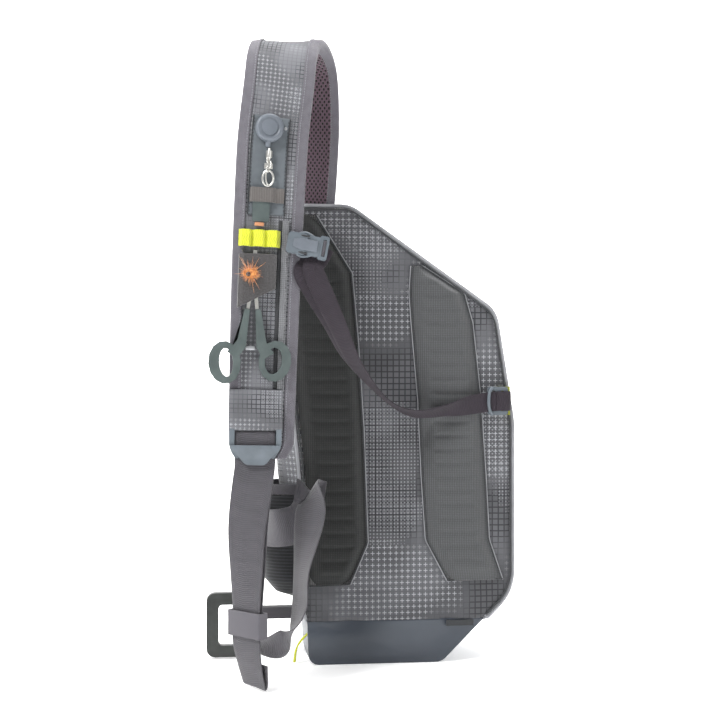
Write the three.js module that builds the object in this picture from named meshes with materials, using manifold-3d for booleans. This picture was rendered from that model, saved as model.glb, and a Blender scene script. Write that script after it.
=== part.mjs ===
// A fly angler's sling bag: a hollow zipped body with a padded back panel, one wide padded
// shoulder strap that stands over it as a loop, and the webbing, buckles and docked tools it wears.
// Units are millimetres. +Z is up, +X is to the right and +Y points away from the wearer's back.
// The origin is the centre of the flat underside.
import * as THREE from "three";
import { mergeVertices } from "three/addons/utils/BufferGeometryUtils.js";
import Module from "manifold-3d";

const wasm = await Module();
wasm.setup();

// Driving sizes of the bag body
const BAG_WIDTH = 237; // back panel inside its piping
const BAG_HEIGHT = 466; // underside to the top of the back panel
const BAG_DEPTH = 162; // back panel to the front at the deepest
const BASE_DEPTH = 140; // depth of the flat underside
const WALL = 2.5; // coated fabric, thin padding and lining together
const PANEL_THICKNESS = 8; // foam and frame sheet behind the back panel's face
const BOOT_HEIGHT = 44; // coated fabric cup round the foot of the bag
const PIPING_RADIUS = 2.2;
const ZIP_WIDTH = 12;
const GAP = 0.35; // between pieces that lie on each other

// Driving sizes of the back pads
const PAD_HEIGHT = 8;
const PAD_RIB_PITCH = 14.2;
const PAD_RIB_DEPTH = 2.2;
const PAD_MARGIN = 3; // between a pad and the edge of the panel

// Driving sizes of the shoulder strap
const STRAP_WIDTH = 68;
const STRAP_THICKNESS = 10;
const STRAP_EDGE = 6; // thickness under the edge binding
const BINDING_WIDTH = 9.5;
const BINDING_THICKNESS = 1.2;
const LINING_THICKNESS = 2;
const LOOP_RISE = 155; // from the top of the bag to the middle of the strap at its highest
const LOOP_REACH = 99; // from the sewn end forward to the hanging end
const LOOP_DRIFT = 48.5; // how far the hanging end stands to the left of the sewn end
const STRAP_DROP = 404; // from the highest point down to the strap's end

// Driving sizes of the webbing and its hardware
const WEBBING_WIDTH = 38;
const WEBBING_THICKNESS = 1.6;
const STABILISER_WIDTH = 20;
const POCKET_BULGE = 42; // how far the bottle pocket stands out from the side
const POCKET_TOP = 172;
const POCKET_DEPTH = 84;
const POCKET_WALL = 2;
const LOOP_HANDLE_WIDTH = 50;
const LOOP_HANDLE_HEIGHT = 67;
const LOOP_HANDLE_BAR = 12.5;
const FLOOR_CLEARANCE = 1.5; // under what hangs down to the floor

// Driving sizes of the docked tools
const RETRACTOR_RADIUS = 12.4;
const RETRACTOR_THICKNESS = 9;
const FORCEPS_THICKNESS = 4;
const FORCEPS_LENGTH = 132;
const NIPPER_WIDTH = 16;
const NIPPER_THICKNESS = 3;
const PATCH_THICKNESS = 1.6;
const RAIL_THICKNESS = 1.4;
const SLEEVE_HEIGHT = 7.5; // room under the fly patch for the forceps
const FLY_RADIUS = 7;

const PANEL_Y = -BASE_DEPTH / 2;
const PANEL_BACK_Y = PANEL_Y + PANEL_THICKNESS;
const STRAP_ROOT = { x: -0.308 * BAG_WIDTH, y: PANEL_Y + 13, z: BAG_HEIGHT };
const APEX_Z = BAG_HEIGHT + LOOP_RISE;
const STRAP_END_Z = APEX_Z - STRAP_DROP;
const HALF_PAD = STRAP_WIDTH / 2 - BINDING_THICKNESS - GAP;
const FACE = STRAP_THICKNESS / 2 + GAP; // what lies on the strap's own face
const OVER = FACE + BINDING_THICKNESS + GAP; // what crosses the binding

const colour = (hex, roughness, metalness = 0) =>
  new THREE.MeshStandardMaterial({ color: hex, roughness, metalness });
const MATERIALS = {
  ripstop: colour(0x6f7378, 0.85),
  mesh: colour(0x55585b, 0.95),
  lining: colour(0x4e4147, 0.95),
  boot: colour(0x5f6874, 0.55),
  webbing: colour(0x6a666d, 0.9),
  piping: colour(0x77787c, 0.8),
  buckle: colour(0x96a1a6, 0.45),
  yellow: colour(0xe3e22b, 0.8),
  foam: colour(0x3d3b3e, 1),
  black: colour(0x2c302d, 0.45),
  grip: colour(0x66726f, 0.6),
  steel: colour(0xc9c8c2, 0.3, 1),
  orange: colour(0xd9822b, 0.8),
  zip: colour(0x3a3c3f, 0.7),
};

const root = new THREE.Group();
const vec = (x, y, z) => new THREE.Vector3(x, y, z);
const { lerp, degToRad, clamp } = THREE.MathUtils;

// Small tools for solids

// The value in a table at a key, by straight lines between its rows.
function between(rows, key, value, at) {
  if (at <= rows[0][key]) return rows[0][value];
  for (let i = 1; i < rows.length; i++) {
    const a = rows[i - 1];
    const b = rows[i];
    if (at <= b[key]) return lerp(a[value], b[value], (at - a[key]) / (b[key] - a[key]));
  }
  return rows[rows.length - 1][value];
}

// Triangles over a ring of points, also where the ring bends inwards.
function capFaces(ring) {
  const normal = vec(0, 0, 0);
  ring.forEach((p, i) => normal.add(vec(0, 0, 0).crossVectors(p, ring[(i + 1) % ring.length])));
  const turn = new THREE.Quaternion().setFromUnitVectors(normal.normalize(), vec(0, 0, 1));
  const flat = ring.map((p) => {
    const q = p.clone().applyQuaternion(turn);
    return new THREE.Vector2(q.x, q.y);
  });
  return THREE.ShapeUtils.triangulateShape(flat, []);
}

// A closed skin through rings of equally many points.
function loft(rings) {
  const count = rings[0].length;
  const points = rings.flat();
  const faces = [];
  for (let r = 0; r < rings.length - 1; r++) {
    const a = r * count;
    const b = a + count;
    for (let i = 0; i < count; i++) {
      const j = (i + 1) % count;
      faces.push(a + i, a + j, b + j, a + i, b + j, b + i);
    }
  }
  const last = (rings.length - 1) * count;
  capFaces(rings[0]).forEach(([a, b, c]) => faces.push(c, b, a));
  capFaces(rings[rings.length - 1]).forEach(([a, b, c]) => faces.push(last + a, last + b, last + c));
  const geometry = new THREE.BufferGeometry().setFromPoints(points);
  geometry.setIndex(faces);
  return geometry;
}

// A closed three.js geometry as a manifold-3d solid whose faces look outwards.
function solid(geometry) {
  const bare = geometry.clone();
  bare.deleteAttribute("normal");
  bare.deleteAttribute("uv");
  const merged = mergeVertices(bare, 1e-4);
  const build = (triVerts) =>
    new wasm.Manifold(
      new wasm.Mesh({ numProp: 3, vertProperties: merged.attributes.position.array, triVerts }),
    );
  const faces = new Uint32Array(merged.index.array);
  const made = build(faces);
  if (made.volume() > 0) return made;
  for (let i = 0; i < faces.length; i += 3) [faces[i + 1], faces[i + 2]] = [faces[i + 2], faces[i + 1]];
  return build(faces);
}

const joined = (geometries) => geometries.map(solid).reduce((sum, part) => sum.add(part));

// A manifold-3d solid as a three.js geometry.
function skin(made) {
  const mesh = made.getMesh();
  const points = [];
  for (let i = 0; i < mesh.numVert; i++)
    points.push(vec(...mesh.vertProperties.slice(i * mesh.numProp, i * mesh.numProp + 3)));
  const geometry = new THREE.BufferGeometry().setFromPoints(points);
  geometry.setIndex(Array.from(mesh.triVerts));
  geometry.computeVertexNormals();
  return geometry;
}

// Adds one named piece to the object, without the slivers that a cut can leave.
const SLIVER = 0.02;
function piece(name, shape, material) {
  const made = shape.isBufferGeometry ? solid(shape) : shape;
  const whole = made.decompose().filter((body) => body.volume() > SLIVER * made.volume());
  const mesh = new THREE.Mesh(skin(wasm.Manifold.compose(whole)), material);
  mesh.name = name;
  root.add(mesh);
}

function block(x0, x1, y0, y1, z0, z1) {
  const box = new THREE.BoxGeometry(x1 - x0, y1 - y0, z1 - z0);
  return box.translate((x0 + x1) / 2, (y0 + y1) / 2, (z0 + z1) / 2);
}
const HUGE = 2000;
const below = (z) => solid(block(-HUGE, HUGE, -HUGE, HUGE, -HUGE, z));
const above = (z) => solid(block(-HUGE, HUGE, -HUGE, HUGE, z, HUGE));
const behind = (y) => solid(block(-HUGE, HUGE, y, HUGE, -HUGE, HUGE));

// A flat outline as a sheet, from z 0 to its thickness.
const sheet = (shape, thickness, curveSegments = 6) =>
  new THREE.ExtrudeGeometry(shape, { depth: thickness, bevelEnabled: false, curveSegments });

function roundedBox(width, height, radius, x = 0, y = 0) {
  const w = width / 2 - radius;
  const h = height / 2 - radius;
  const shape = new THREE.Shape();
  const quarter = Math.PI / 2;
  [
    [w, h, 0],
    [-w, h, 1],
    [-w, -h, 2],
    [w, -h, 3],
  ].forEach(([cx, cy, k]) => shape.absarc(x + cx, y + cy, radius, k * quarter, (k + 1) * quarter));
  return shape;
}

function ellipse(rx, ry, x = 0, y = 0) {
  const shape = new THREE.Shape();
  shape.absellipse(x, y, rx, ry, 0, 2 * Math.PI);
  return shape;
}

const disc = (radius, thickness, sides = 20) =>
  new THREE.CylinderGeometry(radius, radius, thickness, sides)
    .rotateX(Math.PI / 2)
    .translate(0, 0, thickness / 2);

// A strip along stations, each with its middle and the way its width points. The section gives
// [across, out] offsets at a share of the way.
function strip(stations, section, steps) {
  const curve = (of) =>
    new THREE.CatmullRomCurve3(stations.map(of), false, "catmullrom", 0.5);
  const path = curve((s) => vec(...s.at));
  const width = curve((s) => vec(...s.wide).normalize());
  const rings = [];
  for (let i = 0; i <= steps; i++) {
    const t = i / steps;
    const middle = path.getPoint(t);
    const along = path.getTangent(t);
    const across = width.getPoint(t);
    across.addScaledVector(along, -across.dot(along)).normalize();
    const out = vec(0, 0, 0).crossVectors(along, across);
    const place = ([u, n]) =>
      middle.clone().addScaledVector(across, u).addScaledVector(out, n);
    rings.push(section(t).map(place));
  }
  return loft(rings);
}

const flatSection = (width, thickness, from = -thickness / 2) => [
  [-width / 2, from],
  [width / 2, from],
  [width / 2, from + thickness],
  [-width / 2, from + thickness],
];

// A round bar along a curve.
function bar(points, radius, sides, steps) {
  const curve = new THREE.CatmullRomCurve3(points, false, "catmullrom", 0.5);
  const frames = curve.computeFrenetFrames(steps, false);
  const rings = [];
  for (let i = 0; i <= steps; i++) {
    const ring = [];
    for (let k = 0; k < sides; k++) {
      const a = (k / sides) * 2 * Math.PI;
      ring.push(
        curve
          .getPointAt(i / steps)
          .addScaledVector(frames.normals[i], Math.cos(a) * radius)
          .addScaledVector(frames.binormals[i], Math.sin(a) * radius),
      );
    }
    rings.push(ring);
  }
  return loft(rings);
}

// Bag body

// Corners of the back panel, clockwise from the foot on the left: x and radius are shares of
// BAG_WIDTH, z is a share of BAG_HEIGHT.
const PANEL_CORNERS = [
  { x: -0.288, z: 0, radius: 0.042 },
  { x: -0.318, z: 0.42, radius: 1 },
  { x: -0.443, z: 1, radius: 0.095 },
  { x: -0.114, z: 1, radius: 0.11 },
  { x: 0.52, z: 0.772, radius: 0.11 },
  { x: 0.597, z: 0.53, radius: 0.5 },
  { x: 0.597, z: 0.156, radius: 0.21 },
  { x: 0.29, z: 0, radius: 0.06 },
];
const ARC_STEP = degToRad(20);
const LONGEST_SIDE = 72; // straight stretches are cut so that the body can swell between them

// The back panel's outline as points in X and Z, its corners rounded as arcs.
function panelOutline() {
  const corners = PANEL_CORNERS.map((c) => ({
    at: new THREE.Vector2(c.x * BAG_WIDTH, c.z * BAG_HEIGHT),
    radius: c.radius * BAG_WIDTH,
  }));
  const round = [];
  corners.forEach(({ at, radius }, i) => {
    const back = corners[(i + corners.length - 1) % corners.length].at.clone().sub(at).normalize();
    const ahead = corners[(i + 1) % corners.length].at.clone().sub(at).normalize();
    const turn = Math.PI - Math.acos(clamp(back.dot(ahead), -1, 1));
    const start = at.clone().addScaledVector(back, radius * Math.tan(turn / 2));
    const toCentre = back.clone().add(ahead).setLength(radius / Math.cos(turn / 2));
    const arm = start.clone().sub(at).sub(toCentre);
    const sense = Math.sign(back.cross(ahead));
    const pieces = Math.max(1, Math.ceil(turn / ARC_STEP));
    for (let k = 0; k <= pieces; k++) {
      const spoke = arm.clone().rotateAround(new THREE.Vector2(), (-sense * turn * k) / pieces);
      round.push(at.clone().add(toCentre).add(spoke));
    }
  });
  const fine = [];
  round.forEach((a, i) => {
    const b = round[(i + 1) % round.length];
    const cuts = Math.max(1, Math.ceil(a.distanceTo(b) / LONGEST_SIDE));
    for (let k = 0; k < cuts; k++) fine.push(a.clone().lerp(b, k / cuts));
  });
  return fine;
}
const OUTLINE = panelOutline();

// Where the outline lies at a height, on the left (side -1) or on the right (side 1).
function outlineX(height, side) {
  let best = -side * HUGE;
  OUTLINE.forEach((a, i) => {
    const b = OUTLINE[(i + 1) % OUTLINE.length];
    if ((a.y - height) * (b.y - height) > 0 || a.y === b.y) return;
    const x = lerp(a.x, b.x, (height - a.y) / (b.y - a.y));
    if (side * x > side * best) best = x;
  });
  return best;
}

// How the body changes from the back panel to its front: depth is a share of the way there,
// spread scales the outline about its middle, foot does so below it, where the underside stays
// flat, and face says which way a face there looks.
const BODY_SECTIONS = [
  { depth: 0, spread: 1, foot: 1, face: 1 },
  { depth: 0.3, spread: 1.006, foot: 1, face: 0 },
  { depth: 0.62, spread: 0.99, foot: 1, face: 0 },
  { depth: 0.84, spread: 0.94, foot: 1, face: 0 },
  { depth: 0.95, spread: 0.87, foot: 0.97, face: -0.5 },
  { depth: 1, spread: 0.72, foot: 0.85, face: -1 },
  { depth: 1.03, spread: 0.05, foot: 0.05, face: -1 },
];
// How deep the body is at each height, a share of BAG_HEIGHT: swell is a share of what
// BAG_DEPTH has over BASE_DEPTH, and slim takes away a share of BAG_DEPTH.
const BODY_PROFILE = [
  { height: 0, swell: 0, slim: 0 },
  { height: 0.16, swell: 0.6, slim: 0 },
  { height: 0.38, swell: 1, slim: 0 },
  { height: 0.62, swell: 0.9, slim: 0.05 },
  { height: 0.84, swell: 0.6, slim: 0.24 },
  { height: 1, swell: 0, slim: 0.36 },
];
const MIDDLE = new THREE.Vector2(0.06 * BAG_WIDTH, 0.46 * BAG_HEIGHT);

function depthAt(height) {
  const share = height / BAG_HEIGHT;
  const swell = between(BODY_PROFILE, "height", "swell", share);
  const slim = between(BODY_PROFILE, "height", "slim", share);
  return BASE_DEPTH + swell * (BAG_DEPTH - BASE_DEPTH) - slim * BAG_DEPTH;
}

// The body as one closed form, its skin moved inwards by inset.
function bodyForm(inset) {
  const rings = BODY_SECTIONS.map(({ depth, spread, foot, face }) =>
    OUTLINE.map((p) => {
      const flat = p.clone().sub(MIDDLE);
      flat.x *= spread;
      flat.y *= flat.y > 0 ? spread : foot;
      flat.add(MIDDLE);
      const y = PANEL_Y + depthAt(flat.y) * depth + face * inset;
      flat.addScaledVector(MIDDLE.clone().sub(flat).normalize(), inset);
      return vec(flat.x, y, flat.y);
    }),
  );
  return solid(loft(rings));
}

const bodyOuter = bodyForm(0);
const bodyKeepOut = bodyForm(-GAP);
const bodyWalls = bodyOuter.subtract(bodyForm(WALL));

piece("boot", bodyWalls.intersect(below(BOOT_HEIGHT)), MATERIALS.boot);

const aboveBoot = above(BOOT_HEIGHT + GAP);
const panelSlab = solid(block(-HUGE, HUGE, PANEL_Y, PANEL_BACK_Y, BOOT_HEIGHT + GAP, HUGE));
piece("back_panel", bodyOuter.intersect(panelSlab), MATERIALS.ripstop);

// The zip runs over the top and both sides of the body, and ends above the bottle pocket.
const ZIP_Y = PANEL_Y + 0.24 * BASE_DEPTH;
const ZIP_END = { left: 0.45, right: 0.3 }; // shares of BAG_HEIGHT
function zipBand(spare) {
  const y0 = ZIP_Y + spare;
  const y1 = ZIP_Y + ZIP_WIDTH - spare;
  const left = ZIP_END.left * BAG_HEIGHT + spare;
  const right = ZIP_END.right * BAG_HEIGHT + spare;
  return joined([
    block(-HUGE, MIDDLE.x, y0, y1, left, HUGE),
    block(MIDDLE.x - 1, HUGE, y0, y1, right, HUGE),
  ]);
}
piece(
  "bag_shell",
  bodyWalls.intersect(aboveBoot).intersect(behind(PANEL_BACK_Y + GAP)).subtract(zipBand(0)),
  MATERIALS.ripstop,
);
piece("main_zip", bodyWalls.intersect(zipBand(GAP)), MATERIALS.zip);

// The slider sits at the right end of the zip, with its pull hanging down the shell.
{
  const z = ZIP_END.right * BAG_HEIGHT + 12;
  const x = outlineX(z, 1);
  const y = ZIP_Y + ZIP_WIDTH / 2;
  const reach = 12;
  const slider = block(x - reach, x + reach, y - 4.5, y + 4.5, z - 7, z + 7);
  const pull = block(x - reach, x + reach, y - 3, y + 3, z - 45, z - 4);
  const nearSkin = bodyForm(-GAP - 4).subtract(bodyKeepOut);
  const thinSkin = bodyForm(-GAP - 1.8).subtract(bodyKeepOut);
  const right = solid(block(x - reach, HUGE, -HUGE, HUGE, 0, HUGE));
  piece(
    "zip_slider",
    solid(slider).intersect(nearSkin).add(solid(pull).intersect(thinSkin)).intersect(right),
    MATERIALS.buckle,
  );
}

// Piping round the back panel, from the boot up the left side, over and down the right
{
  const away = PIPING_RADIUS + GAP;
  const y = PANEL_Y + PIPING_RADIUS;
  const start = OUTLINE.findIndex((p) => p.y > BOOT_HEIGHT);
  const run = [...OUTLINE.slice(start), ...OUTLINE.slice(0, start)].filter(
    (p) => p.y > BOOT_HEIGHT,
  );
  const points = run.map((p, i) => {
    const along = run[Math.min(i + 1, run.length - 1)].clone().sub(run[Math.max(i - 1, 0)]);
    along.normalize();
    return vec(p.x - along.y * away, y, p.y + along.x * away);
  });
  const rope = solid(bar(points, PIPING_RADIUS, 5, 36));
  piece("edge_piping", rope.subtract(bodyKeepOut).intersect(aboveBoot), MATERIALS.piping);
}

// A tab of bare tape sewn over the boot's seam on the right
{
  const z = BOOT_HEIGHT - 1;
  const tab = block(0.31 * BAG_WIDTH, 0.43 * BAG_WIDTH, PANEL_Y - 1.4 - GAP, PANEL_Y - GAP, z - 6, z);
  piece("hem_tab", solid(tab), MATERIALS.zip);
}

// Back pads

// Seams of the two pads: height is a share of BAG_HEIGHT, left and right of BAG_WIDTH.
const LEFT_PAD = [
  { height: 0.175, left: -1, right: -0.114 },
  { height: 0.264, left: -1, right: -0.038 },
  { height: 0.513, left: -1, right: -0.056 },
  { height: 0.704, left: -1, right: -0.08 },
  { height: 0.858, left: -1, right: -0.107 },
  { height: 0.985, left: -1, right: -0.262 },
];
const RIGHT_PAD = [
  { height: 0.18, left: 0.318, right: 0.555 },
  { height: 0.27, left: 0.224, right: 0.495 },
  { height: 0.412, left: 0.205, right: 0.48 },
  { height: 0.58, left: 0.19, right: 0.458 },
  { height: 0.749, left: 0.161, right: 0.422 },
  { height: 0.815, left: 0.152, right: 0.385 },
  { height: 0.875, left: 0.16, right: 0.2 },
];
// Height of a pad's face across its width, and how much the ribs show there.
const PAD_CROWN = [
  { across: 0, rise: 0.22, rib: 0 },
  { across: 0.17, rise: 0.82, rib: 0.5 },
  { across: 0.5, rise: 1, rib: 1 },
  { across: 0.83, rise: 0.82, rib: 0.5 },
  { across: 1, rise: 0.22, rib: 0 },
];
const PAD_END = 18; // length over which a pad rises from its end seams

function pad(rows) {
  const low = rows[0].height * BAG_HEIGHT;
  const high = rows[rows.length - 1].height * BAG_HEIGHT;
  const ribs = Math.round((high - low) / PAD_RIB_PITCH);
  const rings = [];
  for (let i = 0; i <= 2 * ribs; i++) {
    const z = lerp(low, high, i / (2 * ribs));
    const share = z / BAG_HEIGHT;
    const edge = outlineX(z, -1) + PAD_MARGIN;
    const left = Math.max(edge, between(rows, "height", "left", share) * BAG_WIDTH);
    const right = between(rows, "height", "right", share) * BAG_WIDTH;
    const fade = Math.min(1, 0.25 + Math.min(z - low, high - z) / PAD_END);
    const groove = i % 2 === 0 ? PAD_RIB_DEPTH : 0;
    const ring = PAD_CROWN.map(({ across, rise, rib }) =>
      vec(lerp(left, right, across), PANEL_Y - GAP - (rise * PAD_HEIGHT - rib * groove) * fade, z),
    );
    ring.push(vec(right, PANEL_Y - GAP, z), vec(left, PANEL_Y - GAP, z));
    rings.push(ring);
  }
  return loft(rings);
}
piece("pad_left", pad(LEFT_PAD), MATERIALS.mesh);
piece("pad_right", pad(RIGHT_PAD), MATERIALS.mesh);

// Shoulder strap

// The strap's middle line from its sewn end over the shoulder to its hanging end. rise is a
// share of LOOP_RISE below the apex and drop a share of STRAP_DROP; reach and drift are shares
// of LOOP_REACH and LOOP_DRIFT, and width a share of STRAP_WIDTH.
const STRAP_ROUTE = [
  { rise: -0.04, drop: 0, reach: 0, drift: 0, width: 0.9 },
  { rise: 0.12, drop: 0, reach: -0.02, drift: -0.03, width: 0.95 },
  { rise: 0.5, drop: 0, reach: -0.03, drift: -0.07, width: 1 },
  { rise: 0.82, drop: 0, reach: 0.08, drift: -0.02, width: 1 },
  { rise: 0.96, drop: 0, reach: 0.27, drift: 0.15, width: 1 },
  { rise: 1, drop: 0, reach: 0.53, drift: 0.42, width: 1 },
  { rise: 1, drop: 0.04, reach: 0.78, drift: 0.56, width: 1 },
  { rise: 1, drop: 0.115, reach: 0.91, drift: 0.64, width: 1 },
  { rise: 1, drop: 0.25, reach: 0.965, drift: 0.77, width: 1 },
  { rise: 1, drop: 0.42, reach: 0.99, drift: 0.85, width: 0.99 },
  { rise: 1, drop: 0.62, reach: 1, drift: 0.92, width: 0.97 },
  { rise: 1, drop: 0.82, reach: 1, drift: 0.97, width: 0.94 },
  { rise: 1, drop: 0.96, reach: 1, drift: 1, width: 0.92 },
  { rise: 1, drop: 1, reach: 1, drift: 1, width: 0.7 },
];
const STRAP_STATIONS = STRAP_ROUTE.map(({ rise, drop, reach, drift }) => ({
  at: [
    STRAP_ROOT.x - drift * LOOP_DRIFT,
    STRAP_ROOT.y - reach * LOOP_REACH,
    STRAP_ROOT.z + rise * LOOP_RISE - drop * STRAP_DROP,
  ],
  wide: [1, 0, 0],
}));
const STRAP_STEPS = 29;
const widthAt = (t) => {
  const place = t * (STRAP_ROUTE.length - 1);
  const row = Math.min(Math.floor(place), STRAP_ROUTE.length - 2);
  return lerp(STRAP_ROUTE[row].width, STRAP_ROUTE[row + 1].width, place - row);
};
const alongStrap = (section) =>
  solid(strip(STRAP_STATIONS, section, STRAP_STEPS)).subtract(bodyKeepOut);

const padSection = (t) => {
  const h = HALF_PAD * widthAt(t);
  const b = h - BINDING_WIDTH;
  const e = STRAP_EDGE / 2;
  const n = STRAP_THICKNESS / 2;
  return [
    [-h, -e],
    [-b, -n],
    [b, -n],
    [h, -e],
    [h, e],
    [b, n],
    [-b, n],
    [-h, e],
  ];
};
piece("strap_pad", alongStrap(padSection), MATERIALS.ripstop);

const bindingSection = (side) => (t) => {
  const h = HALF_PAD * widthAt(t);
  const inner = (spare) => [
    [side * (h - BINDING_WIDTH), -side * (STRAP_THICKNESS / 2 + spare)],
    [side * (h + spare), -side * (STRAP_EDGE / 2 + spare)],
    [side * (h + spare), side * (STRAP_EDGE / 2 + spare)],
    [side * (h - BINDING_WIDTH), side * (STRAP_THICKNESS / 2 + spare)],
  ];
  return [...inner(GAP), ...inner(GAP + BINDING_THICKNESS).reverse()];
};
piece("strap_binding_left", alongStrap(bindingSection(-1)), MATERIALS.webbing);
piece("strap_binding_right", alongStrap(bindingSection(1)), MATERIALS.webbing);

const liningSection = (t) => {
  const reach = HALF_PAD * widthAt(t) - BINDING_WIDTH - GAP;
  return flatSection(2 * reach, LINING_THICKNESS, -FACE - LINING_THICKNESS).reverse();
};
piece("strap_mesh", alongStrap(liningSection), MATERIALS.lining);

// Places on the hanging front of the strap

const strapPath = new THREE.CatmullRomCurve3(
  STRAP_STATIONS.map((s) => vec(...s.at)),
  false,
  "catmullrom",
  0.5,
);
const APEX_AT = 5 / (STRAP_ROUTE.length - 1);

// The strap's parameter at a height on its front.
function strapParameter(height) {
  let low = APEX_AT;
  let high = 1;
  for (let i = 0; i < 40; i++) {
    const middle = (low + high) / 2;
    if (strapPath.getPoint(middle).z > height) low = middle;
    else high = middle;
  }
  return (low + high) / 2;
}

// Turns a form drawn with x to the right, y up and z off the strap's face, and puts it at a
// height, beside the strap's middle line by u and off it by n.
function dock(geometry, u, height, n, spin = 0) {
  const t = strapParameter(height);
  const along = strapPath.getTangent(t);
  const across = vec(1, 0, 0).addScaledVector(along, -along.x).normalize();
  const out = vec(0, 0, 0).crossVectors(along, across);
  const turned = geometry.clone().rotateZ(spin).translate(u, 0, n);
  const place = new THREE.Matrix4().makeBasis(across, along.clone().negate(), out);
  return turned.applyMatrix4(place.setPosition(strapPath.getPoint(t)));
}

// Heights and places of what the strap's front carries: height is a share of STRAP_DROP above
// the strap's end, beside is in millimetres from its middle line.
const DOCKS = {
  patch: { top: 0.805, bottom: 0.573, beside: -3, width: 35 },
  retractor: { height: 0.775, beside: -4.5 },
  swivel: { height: 0.698, beside: -3 },
  clip: { height: 0.658, beside: -3 },
  elastic: { height: 0.619, beside: -3, width: 33, tall: 14 },
  nipper: { height: 0.583, beside: -8 },
  yellow: { height: 0.517, beside: -8.5, width: 39, tall: 16 },
  sleeve: { top: 0.48, bottom: 0.342, beside: -9, width: 36 },
  fly: { height: 0.432, beside: -16 },
  forceps: { height: 0.345, beside: -12 },
  rail: { top: 0.562, bottom: 0.165, beside: 16.5, width: 6.5 },
  flap: { top: 0.16, bottom: 0.06, beside: -4, width: 45 },
  lock: { height: 0.035, beside: -6.5 },
};
const dockZ = (share) => STRAP_END_Z + share * STRAP_DROP;

// A flat sheet that follows the strap's face between two heights.
function onFace({ top, bottom, beside, width }, from, thickness, steps) {
  const t0 = strapParameter(dockZ(top));
  const t1 = strapParameter(dockZ(bottom));
  const stations = [];
  for (let i = 0; i <= steps; i++)
    stations.push({ at: strapPath.getPoint(lerp(t0, t1, i / steps)).toArray(), wide: [1, 0, 0] });
  const section = flatSection(width, thickness, from).map(([u, n]) => [u + beside, n]);
  return strip(stations, () => section, steps);
}

piece("dock_patch", onFace(DOCKS.patch, FACE, PATCH_THICKNESS, 4), MATERIALS.black);
piece("strap_rail", onFace(DOCKS.rail, FACE, RAIL_THICKNESS, 6), MATERIALS.ripstop);
piece("anchor_flap", onFace(DOCKS.flap, OVER, 2, 2), MATERIALS.ripstop);

// A band across the strap, drawn as its underside's [u, n] from left to right.
function crossBand(profile, thickness, { height, beside, tall }, n) {
  const upper = profile.map(([u, v], i) => {
    const before = new THREE.Vector2(...profile[Math.max(i - 1, 0)]);
    const after = new THREE.Vector2(...profile[Math.min(i + 1, profile.length - 1)]);
    const along = after.sub(before).setLength(thickness);
    return [u - along.y, v + along.x];
  });
  const shape = new THREE.Shape([...profile, ...upper.reverse()].map((p) => new THREE.Vector2(...p)));
  const band = sheet(shape, tall).rotateX(Math.PI / 2).translate(0, tall / 2, 0);
  return dock(band, beside, dockZ(height), n);
}

const ON_PATCH = FACE + PATCH_THICKNESS + GAP;
const BAND = 1.2;

// Elastic band whose middle arches over the nipper's shank
{
  const half = DOCKS.elastic.width / 2;
  const arch = NIPPER_THICKNESS + 2 * GAP;
  const profile = [
    [-half, 0],
    [-half * 0.91, 0],
    [-half * 0.86, arch],
    [half * 0.3, arch],
    [half * 0.5, 0],
    [half, 0],
  ];
  piece("dock_elastic", crossBand(profile, BAND, DOCKS.elastic, ON_PATCH), MATERIALS.lining);
}

// Bright band sewn down between three channels, the middle one round the forceps' tip
{
  const { width, height, beside, tall } = DOCKS.yellow;
  const arch = FORCEPS_THICKNESS + 2 * GAP;
  const profile = [[-width / 2, 0]];
  for (let channel = 0; channel < 3; channel++) {
    const start = -width / 2 + (width / 3) * channel;
    profile.push([start + 0.03 * width, 0], [start + 0.09 * width, arch]);
    profile.push([start + 0.24 * width, arch], [start + 0.3 * width, 0]);
  }
  profile.push([width / 2, FACE - OVER]);
  piece("yellow_band", crossBand(profile, BAND, { height, beside, tall }, OVER), MATERIALS.yellow);
}

// Foam fly patch, a sleeve open above and below with a slanted foot on the left
{
  const { top, bottom, beside, width } = DOCKS.sleeve;
  const tall = (top - bottom) * STRAP_DROP;
  const half = width / 2;
  const profile = [
    [-half + 2, 0],
    [-half + 2, SLEEVE_HEIGHT - 2],
    [-half + 5, SLEEVE_HEIGHT],
    [half - 5, SLEEVE_HEIGHT],
    [half - 2, SLEEVE_HEIGHT - 2],
    [half - 2, FACE - OVER],
  ];
  const place = { height: (top + bottom) / 2, beside, tall };
  const slant = new THREE.Shape();
  slant.moveTo(-half, -tall);
  slant.lineTo(half + 5, -tall);
  slant.lineTo(half + 5, -0.18 * tall);
  slant.lineTo(-half + 4, -0.5 * tall);
  const cutter = dock(sheet(slant, 60), beside, dockZ(place.height), FACE - 20);
  const sleeve = solid(crossBand(profile, 2, place, OVER));
  piece("fly_patch", sleeve.subtract(solid(cutter)), MATERIALS.foam);
}

// Retractor with its swivel and clip

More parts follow.
